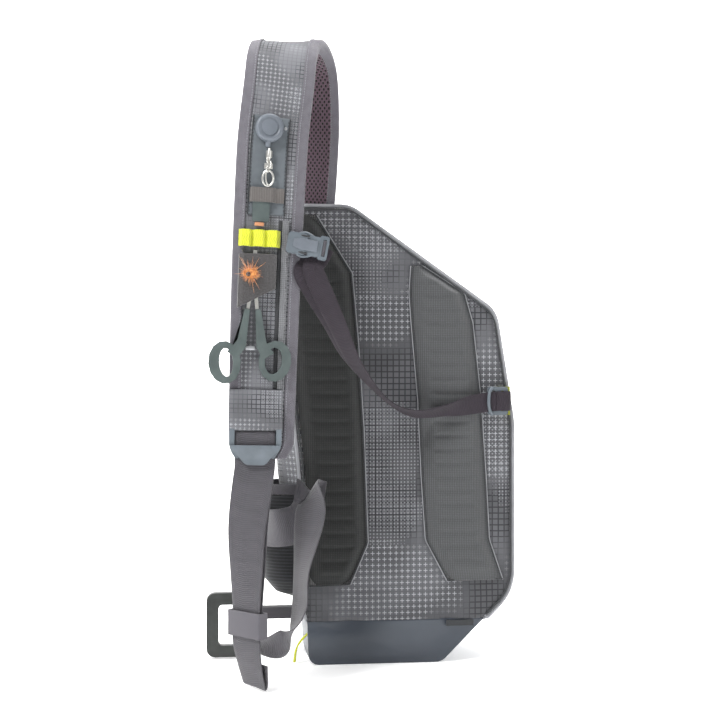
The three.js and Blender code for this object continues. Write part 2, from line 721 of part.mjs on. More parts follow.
{
  const { height, beside } = DOCKS.retractor;
  const r = RETRACTOR_RADIUS;
  const t = RETRACTOR_THICKNESS;
  const profile = [
    [0, 0],
    [r * 0.9, 0],
    [r, t * 0.25],
    [r, t * 0.7],
    [r * 0.84, t],
    [r * 0.68, t * 0.94],
    [0, t * 0.94],
  ].map(([x, y]) => new THREE.Vector2(x, y));
  const puck = new THREE.LatheGeometry(profile, 18).rotateX(Math.PI / 2);
  const collar = new THREE.CylinderGeometry(2.4, 3, 7, 10).translate(0, -r - 2.5, t * 0.45);
  const z = dockZ(height);
  piece(
    "retractor",
    joined([dock(puck, beside, z, ON_PATCH), dock(collar, beside, z, ON_PATCH)]),
    MATERIALS.black,
  );
  const face = disc(r * 0.62, 1.2);
  piece("retractor_face", dock(face, beside, z, ON_PATCH + t * 0.94 + GAP), MATERIALS.buckle);
}
{
  const { height, beside } = DOCKS.swivel;
  const stem = RETRACTOR_THICKNESS * 0.45;
  const z = dockZ(height);
  const top = dockZ(DOCKS.retractor.height) - RETRACTOR_RADIUS - 6 - GAP - z;
  const foot = dockZ(DOCKS.clip.height) + 8.4 + GAP - z;
  const link = new THREE.CylinderGeometry(1.4, 1.4, top - foot, 8).translate(0, (top + foot) / 2, stem);
  const barrel = new THREE.CylinderGeometry(3, 3, 7, 12).translate(0, top - 6, stem);
  const yoke = new THREE.BoxGeometry(8, 5, 4).translate(0, foot + 2.5, stem);
  const parts = [link, barrel, yoke].map((form) => dock(form, beside, z, ON_PATCH));
  piece("swivel", joined(parts), MATERIALS.steel);
}
{
  const { height, beside } = DOCKS.clip;
  const shape = ellipse(6.2, 8.4);
  shape.holes.push(ellipse(4.1, 6.2));
  const ring = sheet(shape, 2.2, 7).translate(0, 0, RETRACTOR_THICKNESS * 0.45 - 1.1);
  piece("clip_ring", dock(ring, beside, dockZ(height), ON_PATCH), MATERIALS.steel);
}

// Nipper held by the elastic, its jaw below
{
  const { height, beside } = DOCKS.nipper;
  const z = dockZ(height);
  const top = dockZ(DOCKS.clip.height) - 8.4 - GAP - z;
  const grip = roundedBox(NIPPER_WIDTH, 26, 2, 0, 2);
  const stem = roundedBox(6, top - 8, 1, 4, (top + 8) / 2);
  const body = [grip, stem].map((s) => dock(sheet(s, NIPPER_THICKNESS, 2), beside, z, ON_PATCH + GAP));
  piece("nipper", joined(body), MATERIALS.grip);
  const jaw = sheet(roundedBox(9, 3.4, 1, -1, -13.1 - GAP), NIPPER_THICKNESS, 2);
  piece("nipper_jaw", dock(jaw, beside, z, ON_PATCH + GAP), MATERIALS.orange);
}

// Forceps: steel jaws and shanks that pass under the fly patch, coated arms and rings below

const FORCEPS_N = OVER + 2 * GAP;
const forcepsShare = (share) => share * FORCEPS_LENGTH;

// A flat bar between two points, with a width at each end.
function taper([x0, y0, w0], [x1, y1, w1]) {
  const across = new THREE.Vector2(y0 - y1, x1 - x0).normalize();
  const shape = new THREE.Shape();
  shape.moveTo(x0 + (across.x * w0) / 2, y0 + (across.y * w0) / 2);
  shape.lineTo(x1 + (across.x * w1) / 2, y1 + (across.y * w1) / 2);
  shape.lineTo(x1 - (across.x * w1) / 2, y1 - (across.y * w1) / 2);
  shape.lineTo(x0 - (across.x * w0) / 2, y0 - (across.y * w0) / 2);
  return shape;
}
{
  const { height, beside } = DOCKS.forceps;
  const z = dockZ(height);
  const tip = forcepsShare(0.44);
  const pivot = forcepsShare(0.28);
  const foot = forcepsShare(0.02);
  const steel = [
    taper([0, pivot, 6], [0.6, tip, 3.4]),
    taper([0, pivot, 4], [-4.6, foot, 3]),
    taper([0, pivot, 4], [4, foot, 3.2]),
    ellipse(3.6, 4.4, 0, pivot),
  ];
  piece(
    "forceps_steel",
    joined(steel.map((s) => dock(sheet(s, FORCEPS_THICKNESS, 4), beside, z, FORCEPS_N))),
    MATERIALS.steel,
  );
  const rings = [
    { x: -25, y: -forcepsShare(0.37), rx: 15.4, ry: 20.4, hx: 6.6, hy: 13.6, arm: -5.2, spin: 0.1 },
    { x: 22.5, y: -forcepsShare(0.35), rx: 15.4, ry: 19.6, hx: 8.2, hy: 12.8, arm: 5, spin: -0.12 },
  ];
  rings.forEach((ring, i) => {
    const side = Math.sign(ring.x);
    const outer = ellipse(ring.rx, ring.ry);
    outer.holes.push(ellipse(ring.hx, ring.hy, -side * 1.5, 0));
    const loop = sheet(outer, 6, 7)
      .rotateZ(ring.spin)
      .translate(ring.x, ring.y, -GAP);
    const top = foot - GAP;
    const low = -forcepsShare(0.25);
    const arm = taper([ring.arm, top, 5], [ring.x * 0.42, low, 10]);
    const shoulder = taper([ring.x * 0.38, low + 3, 10], [ring.x * 0.72, low - 9, 12]);
    const limbs = [arm, shoulder].map((shape) => sheet(shape, 6).translate(0, 0, -GAP));
    const forms = [loop, ...limbs];
    piece(
      i === 0 ? "forceps_ring_left" : "forceps_ring_right",
      joined(forms.map((form) => dock(form, beside, z, FORCEPS_N))),
      MATERIALS.grip,
    );
  });
}

// Tied fly hooked into the fly patch, with a bead at its head
{
  const { height, beside } = DOCKS.fly;
  const n = OVER + SLEEVE_HEIGHT + 2 + GAP;
  const body = new THREE.SphereGeometry(FLY_RADIUS, 12, 7).scale(1.2, 0.75, 0.5);
  const bead = new THREE.SphereGeometry(2.2, 8, 6);
  const z = dockZ(height);
  piece("fly_body", dock(body, beside, z, n + FLY_RADIUS / 2), MATERIALS.orange);
  piece("fly_bead", dock(bead, beside - 2, z - 1, n + FLY_RADIUS + 2.2 + GAP), MATERIALS.black);
}

// Ladder lock at the strap's end, and the wide webbing that runs through it

const WEB_LAYER = WEBBING_THICKNESS + GAP;
const LOCK_N = OVER + 2 + GAP;
const LOCK_BAR = 3;
const LOAD_N = LOCK_N + WEBBING_THICKNESS / 2;
const TAIL_N = LOAD_N + WEBBING_THICKNESS + LOCK_BAR + 2 * GAP;
{
  const { height, beside } = DOCKS.lock;
  const half = WEBBING_WIDTH / 2 + 0.6;
  const deep = TAIL_N - LOAD_N + WEBBING_THICKNESS + 2;
  const rail = (side) => sheet(roundedBox(5, 32, 1.5, side * (half + 2.5), 3), deep, 2);
  const upper = sheet(roundedBox(2 * half + 2, 4, 1, 0, 17), deep, 1);
  const middle = sheet(roundedBox(2 * half + 2, 5, 1, 0, 6), LOCK_BAR, 1);
  middle.translate(0, 0, WEB_LAYER + GAP / 2);
  const tongue = new THREE.Shape();
  tongue.moveTo(-half - 5, -3);
  tongue.lineTo(half + 5, -3);
  tongue.lineTo(half + 1, -10);
  tongue.absarc(half - 8, -12, 7, -0.2, -Math.PI / 2, true);
  tongue.absarc(-half + 8, -12, 7, -Math.PI / 2, -Math.PI + 0.2, true);
  tongue.lineTo(-half - 1, -10);
  const plate = sheet(tongue, 3, 3).translate(0, 0, deep);
  const sill = sheet(roundedBox(2 * half + 10, 7, 2, 0, -4), 3, 3).translate(0, 0, deep);
  const lug = (side) => sheet(roundedBox(5, 10, 1.5, side * (half + 2.5), -6), deep + 1, 2);
  const forms = [rail(-1), rail(1), upper, middle, plate, sill, lug(-1), lug(1)];
  piece(
    "ladder_lock",
    joined(forms.map((form) => dock(form, beside, dockZ(height), LOCK_N))),
    MATERIALS.buckle,
  );
}

// Bottle pocket on the left side: height is a share of POCKET_TOP, spread scales its plan.
const POCKET_SECTIONS = [
  { height: 0.37, spread: 0.3 },
  { height: 0.4, spread: 0.62 },
  { height: 0.48, spread: 0.88 },
  { height: 0.68, spread: 1 },
  { height: 0.9, spread: 0.98 },
  { height: 1, spread: 0.94 },
];
const POCKET_Y = PANEL_Y + PANEL_THICKNESS + 6 + POCKET_DEPTH / 2;
const POCKET_X = outlineX(POCKET_TOP, -1) + 4;
const HEM_HEIGHT = 11;
const POCKET_SIDES = 22;
function pocketForm(inset, from, to) {
  const rings = [];
  const heights = POCKET_SECTIONS.map((row) => row.height * POCKET_TOP);
  const levels = [from, ...heights.filter((z) => z > from + 1 && z < to - 1), to];
  for (const z of levels) {
    const spread = between(POCKET_SECTIONS, "height", "spread", z / POCKET_TOP);
    const rx = spread * (POCKET_BULGE + 4) - inset;
    const ry = spread * (POCKET_DEPTH / 2) - inset;
    const ring = [];
    for (let k = 0; k < POCKET_SIDES; k++) {
      const a = (k / POCKET_SIDES) * 2 * Math.PI;
      const square = (v) => Math.sign(v) * Math.abs(v) ** 0.8;
      ring.push(vec(POCKET_X + rx * square(Math.cos(a)), POCKET_Y + ry * square(Math.sin(a)), z));
    }
    rings.push(ring);
  }
  return solid(loft(rings));
}
{
  const foot = POCKET_SECTIONS[0].height * POCKET_TOP;
  const cup = pocketForm(0, foot, POCKET_TOP - GAP);
  const room = pocketForm(POCKET_WALL, foot + POCKET_WALL, POCKET_TOP + 20);
  piece("bottle_pocket", cup.subtract(room).subtract(bodyKeepOut), MATERIALS.mesh);
  const rim = pocketForm(-0.6, POCKET_TOP, POCKET_TOP + HEM_HEIGHT);
  const mouth = pocketForm(POCKET_WALL, POCKET_TOP - 5, POCKET_TOP + HEM_HEIGHT + 5);
  piece("pocket_hem", rim.subtract(mouth).subtract(bodyKeepOut), MATERIALS.webbing);
}

// The wide webbing, sewn to the pocket's side, folds into a loop, swoops up to the keeper and
// the ladder lock, and comes back down through the keeper to its folded tail. back runs from
// the lock (0) to the sewn end (1) in X, deep does so in Y, height is a share of the lock's
// height, and turn says which way the width points, in degrees about Z and off level.
const lockAt = (n) => {
  const spot = new THREE.BufferGeometry().setFromPoints([vec(0, 0, 0)]);
  const { height, beside } = DOCKS.lock;
  return vec(0, 0, 0).fromBufferAttribute(
    dock(spot, beside, dockZ(height), n).attributes.position,
    0,
  );
};
const LOAD_TOP = lockAt(LOAD_N);
const TAIL_TOP = lockAt(TAIL_N);
const BAR_TOP = 6 + 2.5 + GAP + WEBBING_THICKNESS / 2;
const SEWN = vec(POCKET_X - POCKET_BULGE - 4 - GAP - 1, POCKET_Y - 0.1 * POCKET_DEPTH, 0.81 * POCKET_TOP);
const LOAD_ROUTE = [
  { side: 0, fore: -0.1, height: 0.6, yaw: 180, tip: 90 },
  { side: 0, fore: 0.25, height: 0.61, yaw: 180, tip: 90 },
  { side: 0.4, fore: 0.52, height: 0.62, yaw: 170, tip: 78 },
  { side: 0.98, fore: 0.6, height: 0.65, yaw: 150, tip: 50 },
  { side: 1.2, fore: 0.7, height: 0.74, yaw: 125, tip: 14 },
  { side: 1.19, fore: 0.77, height: 0.79, yaw: 104, tip: 0 },
  { side: 1.17, fore: 0.83, height: 0.7, yaw: 135, tip: -4 },
  { side: 0.93, fore: 0.89, height: 0.47, yaw: 108, tip: 0 },
  { side: 0.84, fore: 0.93, height: 0.3, yaw: 112, tip: -22 },
  { side: 0.46, fore: 1, height: 0.185, yaw: 122, tip: -40 },
];
const FRONT_SPAN = SEWN.y - LOAD_TOP.y;
const HANG = { keeperHigh: 0.34, keeperLow: 0.2, keeperYaw: 130, tailYaw: 121 };
const KEEPER_X = -0.22 * WEBBING_WIDTH;
const web = (at, yaw, tip = 0) => {
  const level = Math.cos(degToRad(tip));
  return {
    at: at.toArray(),
    wide: [
      level * Math.cos(degToRad(yaw)),
      level * Math.sin(degToRad(yaw)),
      Math.sin(degToRad(tip)),
    ],
  };
};
const hung = (side, height, off, yaw) => {
  const across = degToRad(yaw - 90);
  const x = LOAD_TOP.x + side * WEBBING_WIDTH + off * Math.cos(across);
  const y = TAIL_TOP.y - 0.02 * WEBBING_WIDTH + off * Math.sin(across);
  return web(vec(x, y, height * LOAD_TOP.z), yaw);
};
{
  const k = KEEPER_X / WEBBING_WIDTH;
  const apart = WEB_LAYER + 1.2;
  const swoop = LOAD_ROUTE.map(({ side, fore, height, yaw, tip }) =>
    web(
      vec(
        SEWN.x + side * WEBBING_WIDTH,
        SEWN.y - fore * FRONT_SPAN,
        height * LOAD_TOP.z,
      ),
      yaw,
      tip,
    ),
  );
  const floor = FLOOR_CLEARANCE + WEBBING_THICKNESS;
  const down = [
    hung(k, HANG.keeperLow, apart, HANG.keeperYaw),
    hung(k, HANG.keeperHigh, apart, HANG.keeperYaw),
    hung(k, 0.5, apart + 1, 142),
    hung(0.8 * k, 0.7, apart + 1, 158),
    hung(0.2 * k, 0.86, 2, 174),
    web(LOAD_TOP.clone().add(vec(0, 0, -14)), 180),
    web(LOAD_TOP.clone().add(vec(0, 0, BAR_TOP - 1.2)), 180),
    web(LOAD_TOP.clone().lerp(TAIL_TOP, 0.5).add(vec(0, 0, BAR_TOP + 2.2)), 180),
    web(TAIL_TOP.clone().add(vec(0, 0, BAR_TOP - 1.2)), 180),
    web(TAIL_TOP.clone().add(vec(0, 0, -18)), 180),
    hung(0.3 * k, 0.84, -2, 172),
    hung(0.9 * k, 0.66, -1, 155),
    hung(k, 0.48, 0, 140),
    hung(k, HANG.keeperHigh, 0, HANG.keeperYaw),
    hung(k, HANG.keeperLow, 0, HANG.keeperYaw),
    hung(0.6 * k, 0.1, 0, 124),
  ];
  const foot = hung(0.2 * k, 0, 0, HANG.tailYaw);
  const fold = [
    [0, floor + 5],
    [1.4, floor],
    [3.4, floor + 5],
    [3.2, floor + 22],
  ].map(([off, z]) => {
    const away = degToRad(HANG.tailYaw - 90);
    const at = vec(...foot.at).setZ(z).add(vec(off * Math.cos(away), off * Math.sin(away), 0));
    return { at: at.toArray(), wide: foot.wide };
  });
  const stations = [...swoop, ...down, ...fold];
  const section = flatSection(WEBBING_WIDTH, WEBBING_THICKNESS);
  const steps = Math.round(2.7 * stations.length);
  piece("main_webbing", strip(stations, () => section, steps), MATERIALS.webbing);

  const at = hung(k, (HANG.keeperHigh + HANG.keeperLow) / 2, apart / 2, HANG.keeperYaw);
  const outer = roundedBox(WEBBING_WIDTH + 6.4, apart + 8.2, 1.5);
  outer.holes.push(roundedBox(WEBBING_WIDTH + 3, apart + 5.2, 1));
  const keeper = sheet(outer, 24, 2).translate(0, 0, -12).rotateZ(degToRad(HANG.keeperYaw));
  piece("webbing_keeper", keeper.translate(...at.at), MATERIALS.webbing);
}

// Molded loop handle at the lower left and the tape that ties it to the side
{
  const x = outlineX(BOOT_HEIGHT, -1) - 1.41 * LOOP_HANDLE_WIDTH - LOOP_HANDLE_BAR / 2;
  const y = PANEL_Y + 0.33 * BASE_DEPTH;
  const z = FLOOR_CLEARANCE + LOOP_HANDLE_HEIGHT / 2;
  const outer = roundedBox(LOOP_HANDLE_WIDTH, LOOP_HANDLE_HEIGHT, 9);
  const room = LOOP_HANDLE_BAR * 2;
  outer.holes.push(roundedBox(LOOP_HANDLE_WIDTH - room, LOOP_HANDLE_HEIGHT - room, 4));
  const loop = sheet(outer, 10, 3).translate(0, 0, -5).rotateX(Math.PI / 2).translate(x, y, z);
  piece("loop_handle", loop, MATERIALS.black);

  const inner = x + LOOP_HANDLE_WIDTH / 2 - LOOP_HANDLE_BAR - GAP;
  const clear = 5 + GAP;
  const tape = 1.6;
  const side = outlineX(BOOT_HEIGHT, -1);
  const shape = new THREE.Shape();
  shape.moveTo(inner - tape, -clear - tape);
  shape.lineTo(side + 8, -clear - tape);
  shape.lineTo(side + 8, clear + tape);
  shape.lineTo(inner - tape, clear + tape);
  const hole = new THREE.Path();
  hole.moveTo(inner, -clear);
  hole.lineTo(inner, clear);
  hole.lineTo(inner + LOOP_HANDLE_BAR + 2 * GAP, clear);
  hole.lineTo(inner + LOOP_HANDLE_BAR + 2 * GAP + 4, 0.5);
  hole.lineTo(side + 6, 0.5);
  hole.lineTo(side + 6, -0.5);
  hole.lineTo(inner + LOOP_HANDLE_BAR + 2 * GAP + 4, -0.5);
  hole.lineTo(inner + LOOP_HANDLE_BAR + 2 * GAP, -clear);
  shape.holes.push(hole);
  const windowTop = FLOOR_CLEARANCE + LOOP_HANDLE_HEIGHT - LOOP_HANDLE_BAR;
  const band = solid(sheet(shape, 12).translate(0, y, windowTop - 15));
  piece("handle_tape", band.subtract(bodyKeepOut), MATERIALS.grip);
}

// Yellow pull that hangs down the boot's left side
{
  const y = PANEL_Y + 10;
  const side = outlineX(BOOT_HEIGHT, -1);
  const stations = [
    { at: [side + 2, y, BOOT_HEIGHT - 3], wide: [0, 1, 0] },
    { at: [side - 6, y, 0.62 * BOOT_HEIGHT], wide: [0, 1, 0] },
    { at: [side - 11, y, 0.3 * BOOT_HEIGHT], wide: [0.3, 1, 0] },
    { at: [side - 12.5, y, FLOOR_CLEARANCE], wide: [0.5, 1, 0] },
  ];
  const pull = strip(stations, () => flatSection(5, 2), 6);
  piece("base_pull", solid(pull).subtract(bodyKeepOut), MATERIALS.yellow);
}

// Side-release buckle on the strap's right edge, and its stabiliser webbing across the back

const BUCKLE_TILT = degToRad(-8);
const BUCKLE = { share: 0.505, beside: 37, n: OVER + 4 };
const BUCKLE_Z = dockZ(BUCKLE.share);
{
  const socket = roundedBox(19, 20, 3, -10, 0);
  socket.holes.push(roundedBox(6, 8, 1.5, -9, 0));
  const plug = roundedBox(12, 19, 2, 5.85, 0);
  const yoke = roundedBox(9, 23, 2, 15.5, 0);
  yoke.holes.push(roundedBox(3.4, 16, 0.8, 16, 0));
  const place = (form) => dock(form, BUCKLE.beside, BUCKLE_Z, BUCKLE.n, BUCKLE_TILT);
  piece("buckle_socket", place(sheet(socket, 8, 2)), MATERIALS.buckle);
  const plugForms = [sheet(plug, 6, 2).translate(0, 0, 1), sheet(yoke, 5, 2).translate(0, 0, 1.5)];
  piece("buckle_plug", joined(plugForms.map(place)), MATERIALS.buckle);
  const tab = block(-20, -3, -7, 7, -3.2, -GAP);
  piece("buckle_tab", place(tab), MATERIALS.webbing);
}

// side and height run from the buckle (0) to the right-hand lock (1), deep goes back in Y.
const STABILISER_ROUTE = [
  { side: 0, deep: 0, height: 0, yaw: 0, tip: 12 },
  { side: 0.045, deep: 0.04, height: 0.13, yaw: -5, tip: 14 },
  { side: 0.13, deep: 0.16, height: 0.4, yaw: -35, tip: 12 },
  { side: 0.23, deep: 0.39, height: 0.7, yaw: -60, tip: 8 },
  { side: 0.39, deep: 0.65, height: 0.97, yaw: -88, tip: 4 },
  { side: 0.55, deep: 0.82, height: 1.09, yaw: -88, tip: 22 },
  { side: 0.72, deep: 0.93, height: 1.07, yaw: -82, tip: 42 },
  { side: 0.85, deep: 0.97, height: 1.03, yaw: -90, tip: 80 },
  { side: 0.93, deep: 0.995, height: 1.01, yaw: -90, tip: 90 },
  { side: 1, deep: 1, height: 1, yaw: -90, tip: 90 },
];
const LOCK_RIGHT = {
  x: outlineX(0.577 * BAG_HEIGHT, 1) - 12,
  y: PANEL_Y - PAD_HEIGHT - 1.5,
  z: 0.577 * BAG_HEIGHT,
  width: 21,
  height: 29,
  thickness: 5,
};
{
  const spot = new THREE.BufferGeometry().setFromPoints([vec(7, -21, 4)]);
  const start = vec(0, 0, 0).fromBufferAttribute(
    dock(spot, BUCKLE.beside, BUCKLE_Z, BUCKLE.n, BUCKLE_TILT).attributes.position,
    0,
  );
  const end = vec(LOCK_RIGHT.x + 2, LOCK_RIGHT.y - 0.9 - GAP, LOCK_RIGHT.z);
  const stations = STABILISER_ROUTE.map(({ side, deep, height, yaw, tip }) =>
    web(
      vec(lerp(start.x, end.x, side), lerp(start.y, end.y, deep), lerp(start.z, end.z, height)),
      yaw,
      tip,
    ),
  );
  const section = flatSection(STABILISER_WIDTH, 1.3);
  piece("stabiliser_webbing", strip(stations, () => section, 36), MATERIALS.webbing);
}

// Small ladder lock on the right edge of the back panel, and the tab that holds it
{
  const { x, y, z, width, height, thickness } = LOCK_RIGHT;
  const frame = roundedBox(width, height, 3);
  for (const side of [-1, 1]) frame.holes.push(roundedBox(4.6, 21, 1, side * 5, 0));
  const lock = sheet(frame, thickness, 2).rotateX(Math.PI / 2).translate(x, y + thickness, z);
  piece("ladder_lock_right", lock, MATERIALS.buckle);
  const side = x + width / 2 + GAP;
  const half = height / 2;
  const back = y + thickness + GAP;
  const hook = block(side, side + 1.8, y, PANEL_Y - GAP, z - half, z + half);
  const base = block(x, side + 1, back, PANEL_Y - GAP, z - half, z + half);
  piece("lock_tab", joined([hook, base]), MATERIALS.yellow);
}

export default root;
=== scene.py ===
"""Looks of a fly angler's sling bag, built round its CAD frame. Lengths here are millimetres,
turned to metres when a piece is finished. +Z is up, +X to the right, +Y away from the back."""

import math
import random

import bmesh
import bpy
from bpy.props import FloatProperty, FloatVectorProperty, IntProperty, PointerProperty
from bpy.types import Operator, Panel, PropertyGroup
from mathutils import Matrix, Vector, noise


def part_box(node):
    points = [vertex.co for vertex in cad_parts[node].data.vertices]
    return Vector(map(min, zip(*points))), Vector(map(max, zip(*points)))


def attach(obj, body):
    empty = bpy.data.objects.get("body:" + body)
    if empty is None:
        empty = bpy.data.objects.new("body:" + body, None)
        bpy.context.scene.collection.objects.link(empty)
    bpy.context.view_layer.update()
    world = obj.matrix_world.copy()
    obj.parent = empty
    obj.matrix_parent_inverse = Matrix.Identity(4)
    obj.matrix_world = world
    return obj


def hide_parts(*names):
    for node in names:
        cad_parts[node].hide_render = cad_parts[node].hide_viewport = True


bl_info = {
    "name": "Sling bag",
    "version": (1, 0, 0),
    "blender": (4, 5, 0),
    "location": "View3D > Sidebar > Sling bag",
    "description": "Builds the cloth, webbing and hardware of an angler's sling bag",
    "category": "Object",
}

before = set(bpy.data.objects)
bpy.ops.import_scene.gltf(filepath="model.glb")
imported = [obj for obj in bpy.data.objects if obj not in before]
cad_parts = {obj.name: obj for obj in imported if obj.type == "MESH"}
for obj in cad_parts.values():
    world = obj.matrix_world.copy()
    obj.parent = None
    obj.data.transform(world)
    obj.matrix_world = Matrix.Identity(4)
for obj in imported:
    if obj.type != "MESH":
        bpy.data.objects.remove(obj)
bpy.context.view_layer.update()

METRE = 0.001

# Sizes that the CAD part is built from
BAG_WIDTH = 237
BAG_HEIGHT = 466
BAG_DEPTH = 162
BASE_DEPTH = 140
PANEL_Y = -70
BOOT_HEIGHT = 44
STRAP_WIDTH = 68
STRAP_THICKNESS = 10
STRAP_EDGE = 6
BINDING_WIDTH = 9.5
BINDING_THICKNESS = 1.2
GAP = 0.35
HALF_PAD = STRAP_WIDTH / 2 - BINDING_THICKNESS - GAP
FACE = STRAP_THICKNESS / 2 + GAP
OVER = FACE + BINDING_THICKNESS + GAP
LOOP_RISE = 155
LOOP_REACH = 99
LOOP_DRIFT = 48.5
STRAP_DROP = 404
STRAP_ROOT = Vector((-0.308 * BAG_WIDTH, PANEL_Y + 13, BAG_HEIGHT))
STRAP_END_Z = BAG_HEIGHT + LOOP_RISE - STRAP_DROP
WEBBING_WIDTH = 38
WEBBING_THICKNESS = 1.6


class BagSettings(PropertyGroup):
    """Sizes and colours that a user of the bag would change."""

    print_pitch: FloatProperty(
        name="Print pitch",
        description="Spacing of the printed grid on the ripstop",
        default=0.0061,
        unit="LENGTH",
    )
    rib_pitch: FloatProperty(
        name="Rib pitch",
        description="Spacing of the ribs embossed in the back pads",
        default=0.0142,
        unit="LENGTH",
    )
    rib_depth: FloatProperty(
        name="Rib depth",
        description="Depth of the grooves between the ribs",
        default=0.0015,
        unit="LENGTH",
    )
    wrinkle: FloatProperty(
        name="Wrinkle",
        description="How far the cloth of the body stands in and out",
        default=0.0014,
        unit="LENGTH",
    )
    fibre_count: IntProperty(
        name="Fly fibres",
        description="Fibres in the tied fly",
        default=260,
        min=0,
    )
    cloth_colour: FloatVectorProperty(
        name="Cloth",
        description="Ground colour of the printed cloth",
        subtype="COLOR",
        default=(0.112, 0.114, 0.124),
    )
    webbing_colour: FloatVectorProperty(
        name="Webbing",
        description="Colour of the webbing and the edge tape",
        subtype="COLOR",
        default=(0.063, 0.060, 0.069),
    )
    accent_colour: FloatVectorProperty(
        name="Accent",
        description="Colour of the bright band, the pull and the lock's tab",
        subtype="COLOR",
        default=(0.60, 0.63, 0.03),
    )


def settings():
    """What the sidebar holds."""
    return bpy.context.scene.sling_bag


def mix(a, b, share):
    return a + (b - a) * share


def smooth(share):
    share = min(1, max(0, share))
    return share * share * (3 - 2 * share)


def between(rows, at):
    """The value in a table of (key, value) rows at a key, by smooth steps between its rows."""
    if at <= rows[0][0]:
        return rows[0][1]
    for (a, low), (b, high) in zip(rows, rows[1:]):
        if at <= b:
            return mix(low, high, (at - a) / (b - a))
    return rows[-1][1]


def rough(x, y, z, size):
    """Smooth unevenness between -1 and 1 with bumps of a size."""
    return noise.noise(Vector((x / size, y / size, z / size)))


# Materials


def linear(code):
    """A linear colour from an sRGB hex value."""
    channels = [((code >> shift) & 255) / 255 for shift in (16, 8, 0)]
    return [c / 12.92 if c <= 0.04045 else ((c + 0.055) / 1.055) ** 2.4 for c in channels] + [1]


def add(tree, kind, inputs=None, **choices):
    """Adds one shader node with its settings, and sets or links its sockets."""
    made = tree.nodes.new("ShaderNode" + kind)
    for name, value in choices.items():
        setattr(made, name, value)
    for key, value in (inputs or {}).items():
        if isinstance(value, bpy.types.NodeSocket):
            tree.links.new(value, made.inputs[key])
        else:
            made.inputs[key].default_value = value
    return made


def started(name, **sockets):
    """A new material with its shader, the sockets set that are the same all over."""
    material = bpy.data.materials.new(name)
    material.use_nodes = True
    tree = material.node_tree
    shader = tree.nodes["Principled BSDF"]
    for key, value in sockets.items():
        shader.inputs[key.replace("_", " ")].default_value = value
    return material, tree, shader


def dressed(tree, shader, colour, height, relief, distance=0.4):
    """Links a colour and a bump of a depth in millimetres into a shader."""
    tree.links.new(colour, shader.inputs["Base Color"])
    bump = add(tree, "Bump", {"Height": height, "Strength": relief, "Distance": distance * METRE})
    tree.links.new(bump.outputs[0], shader.inputs["Normal"])


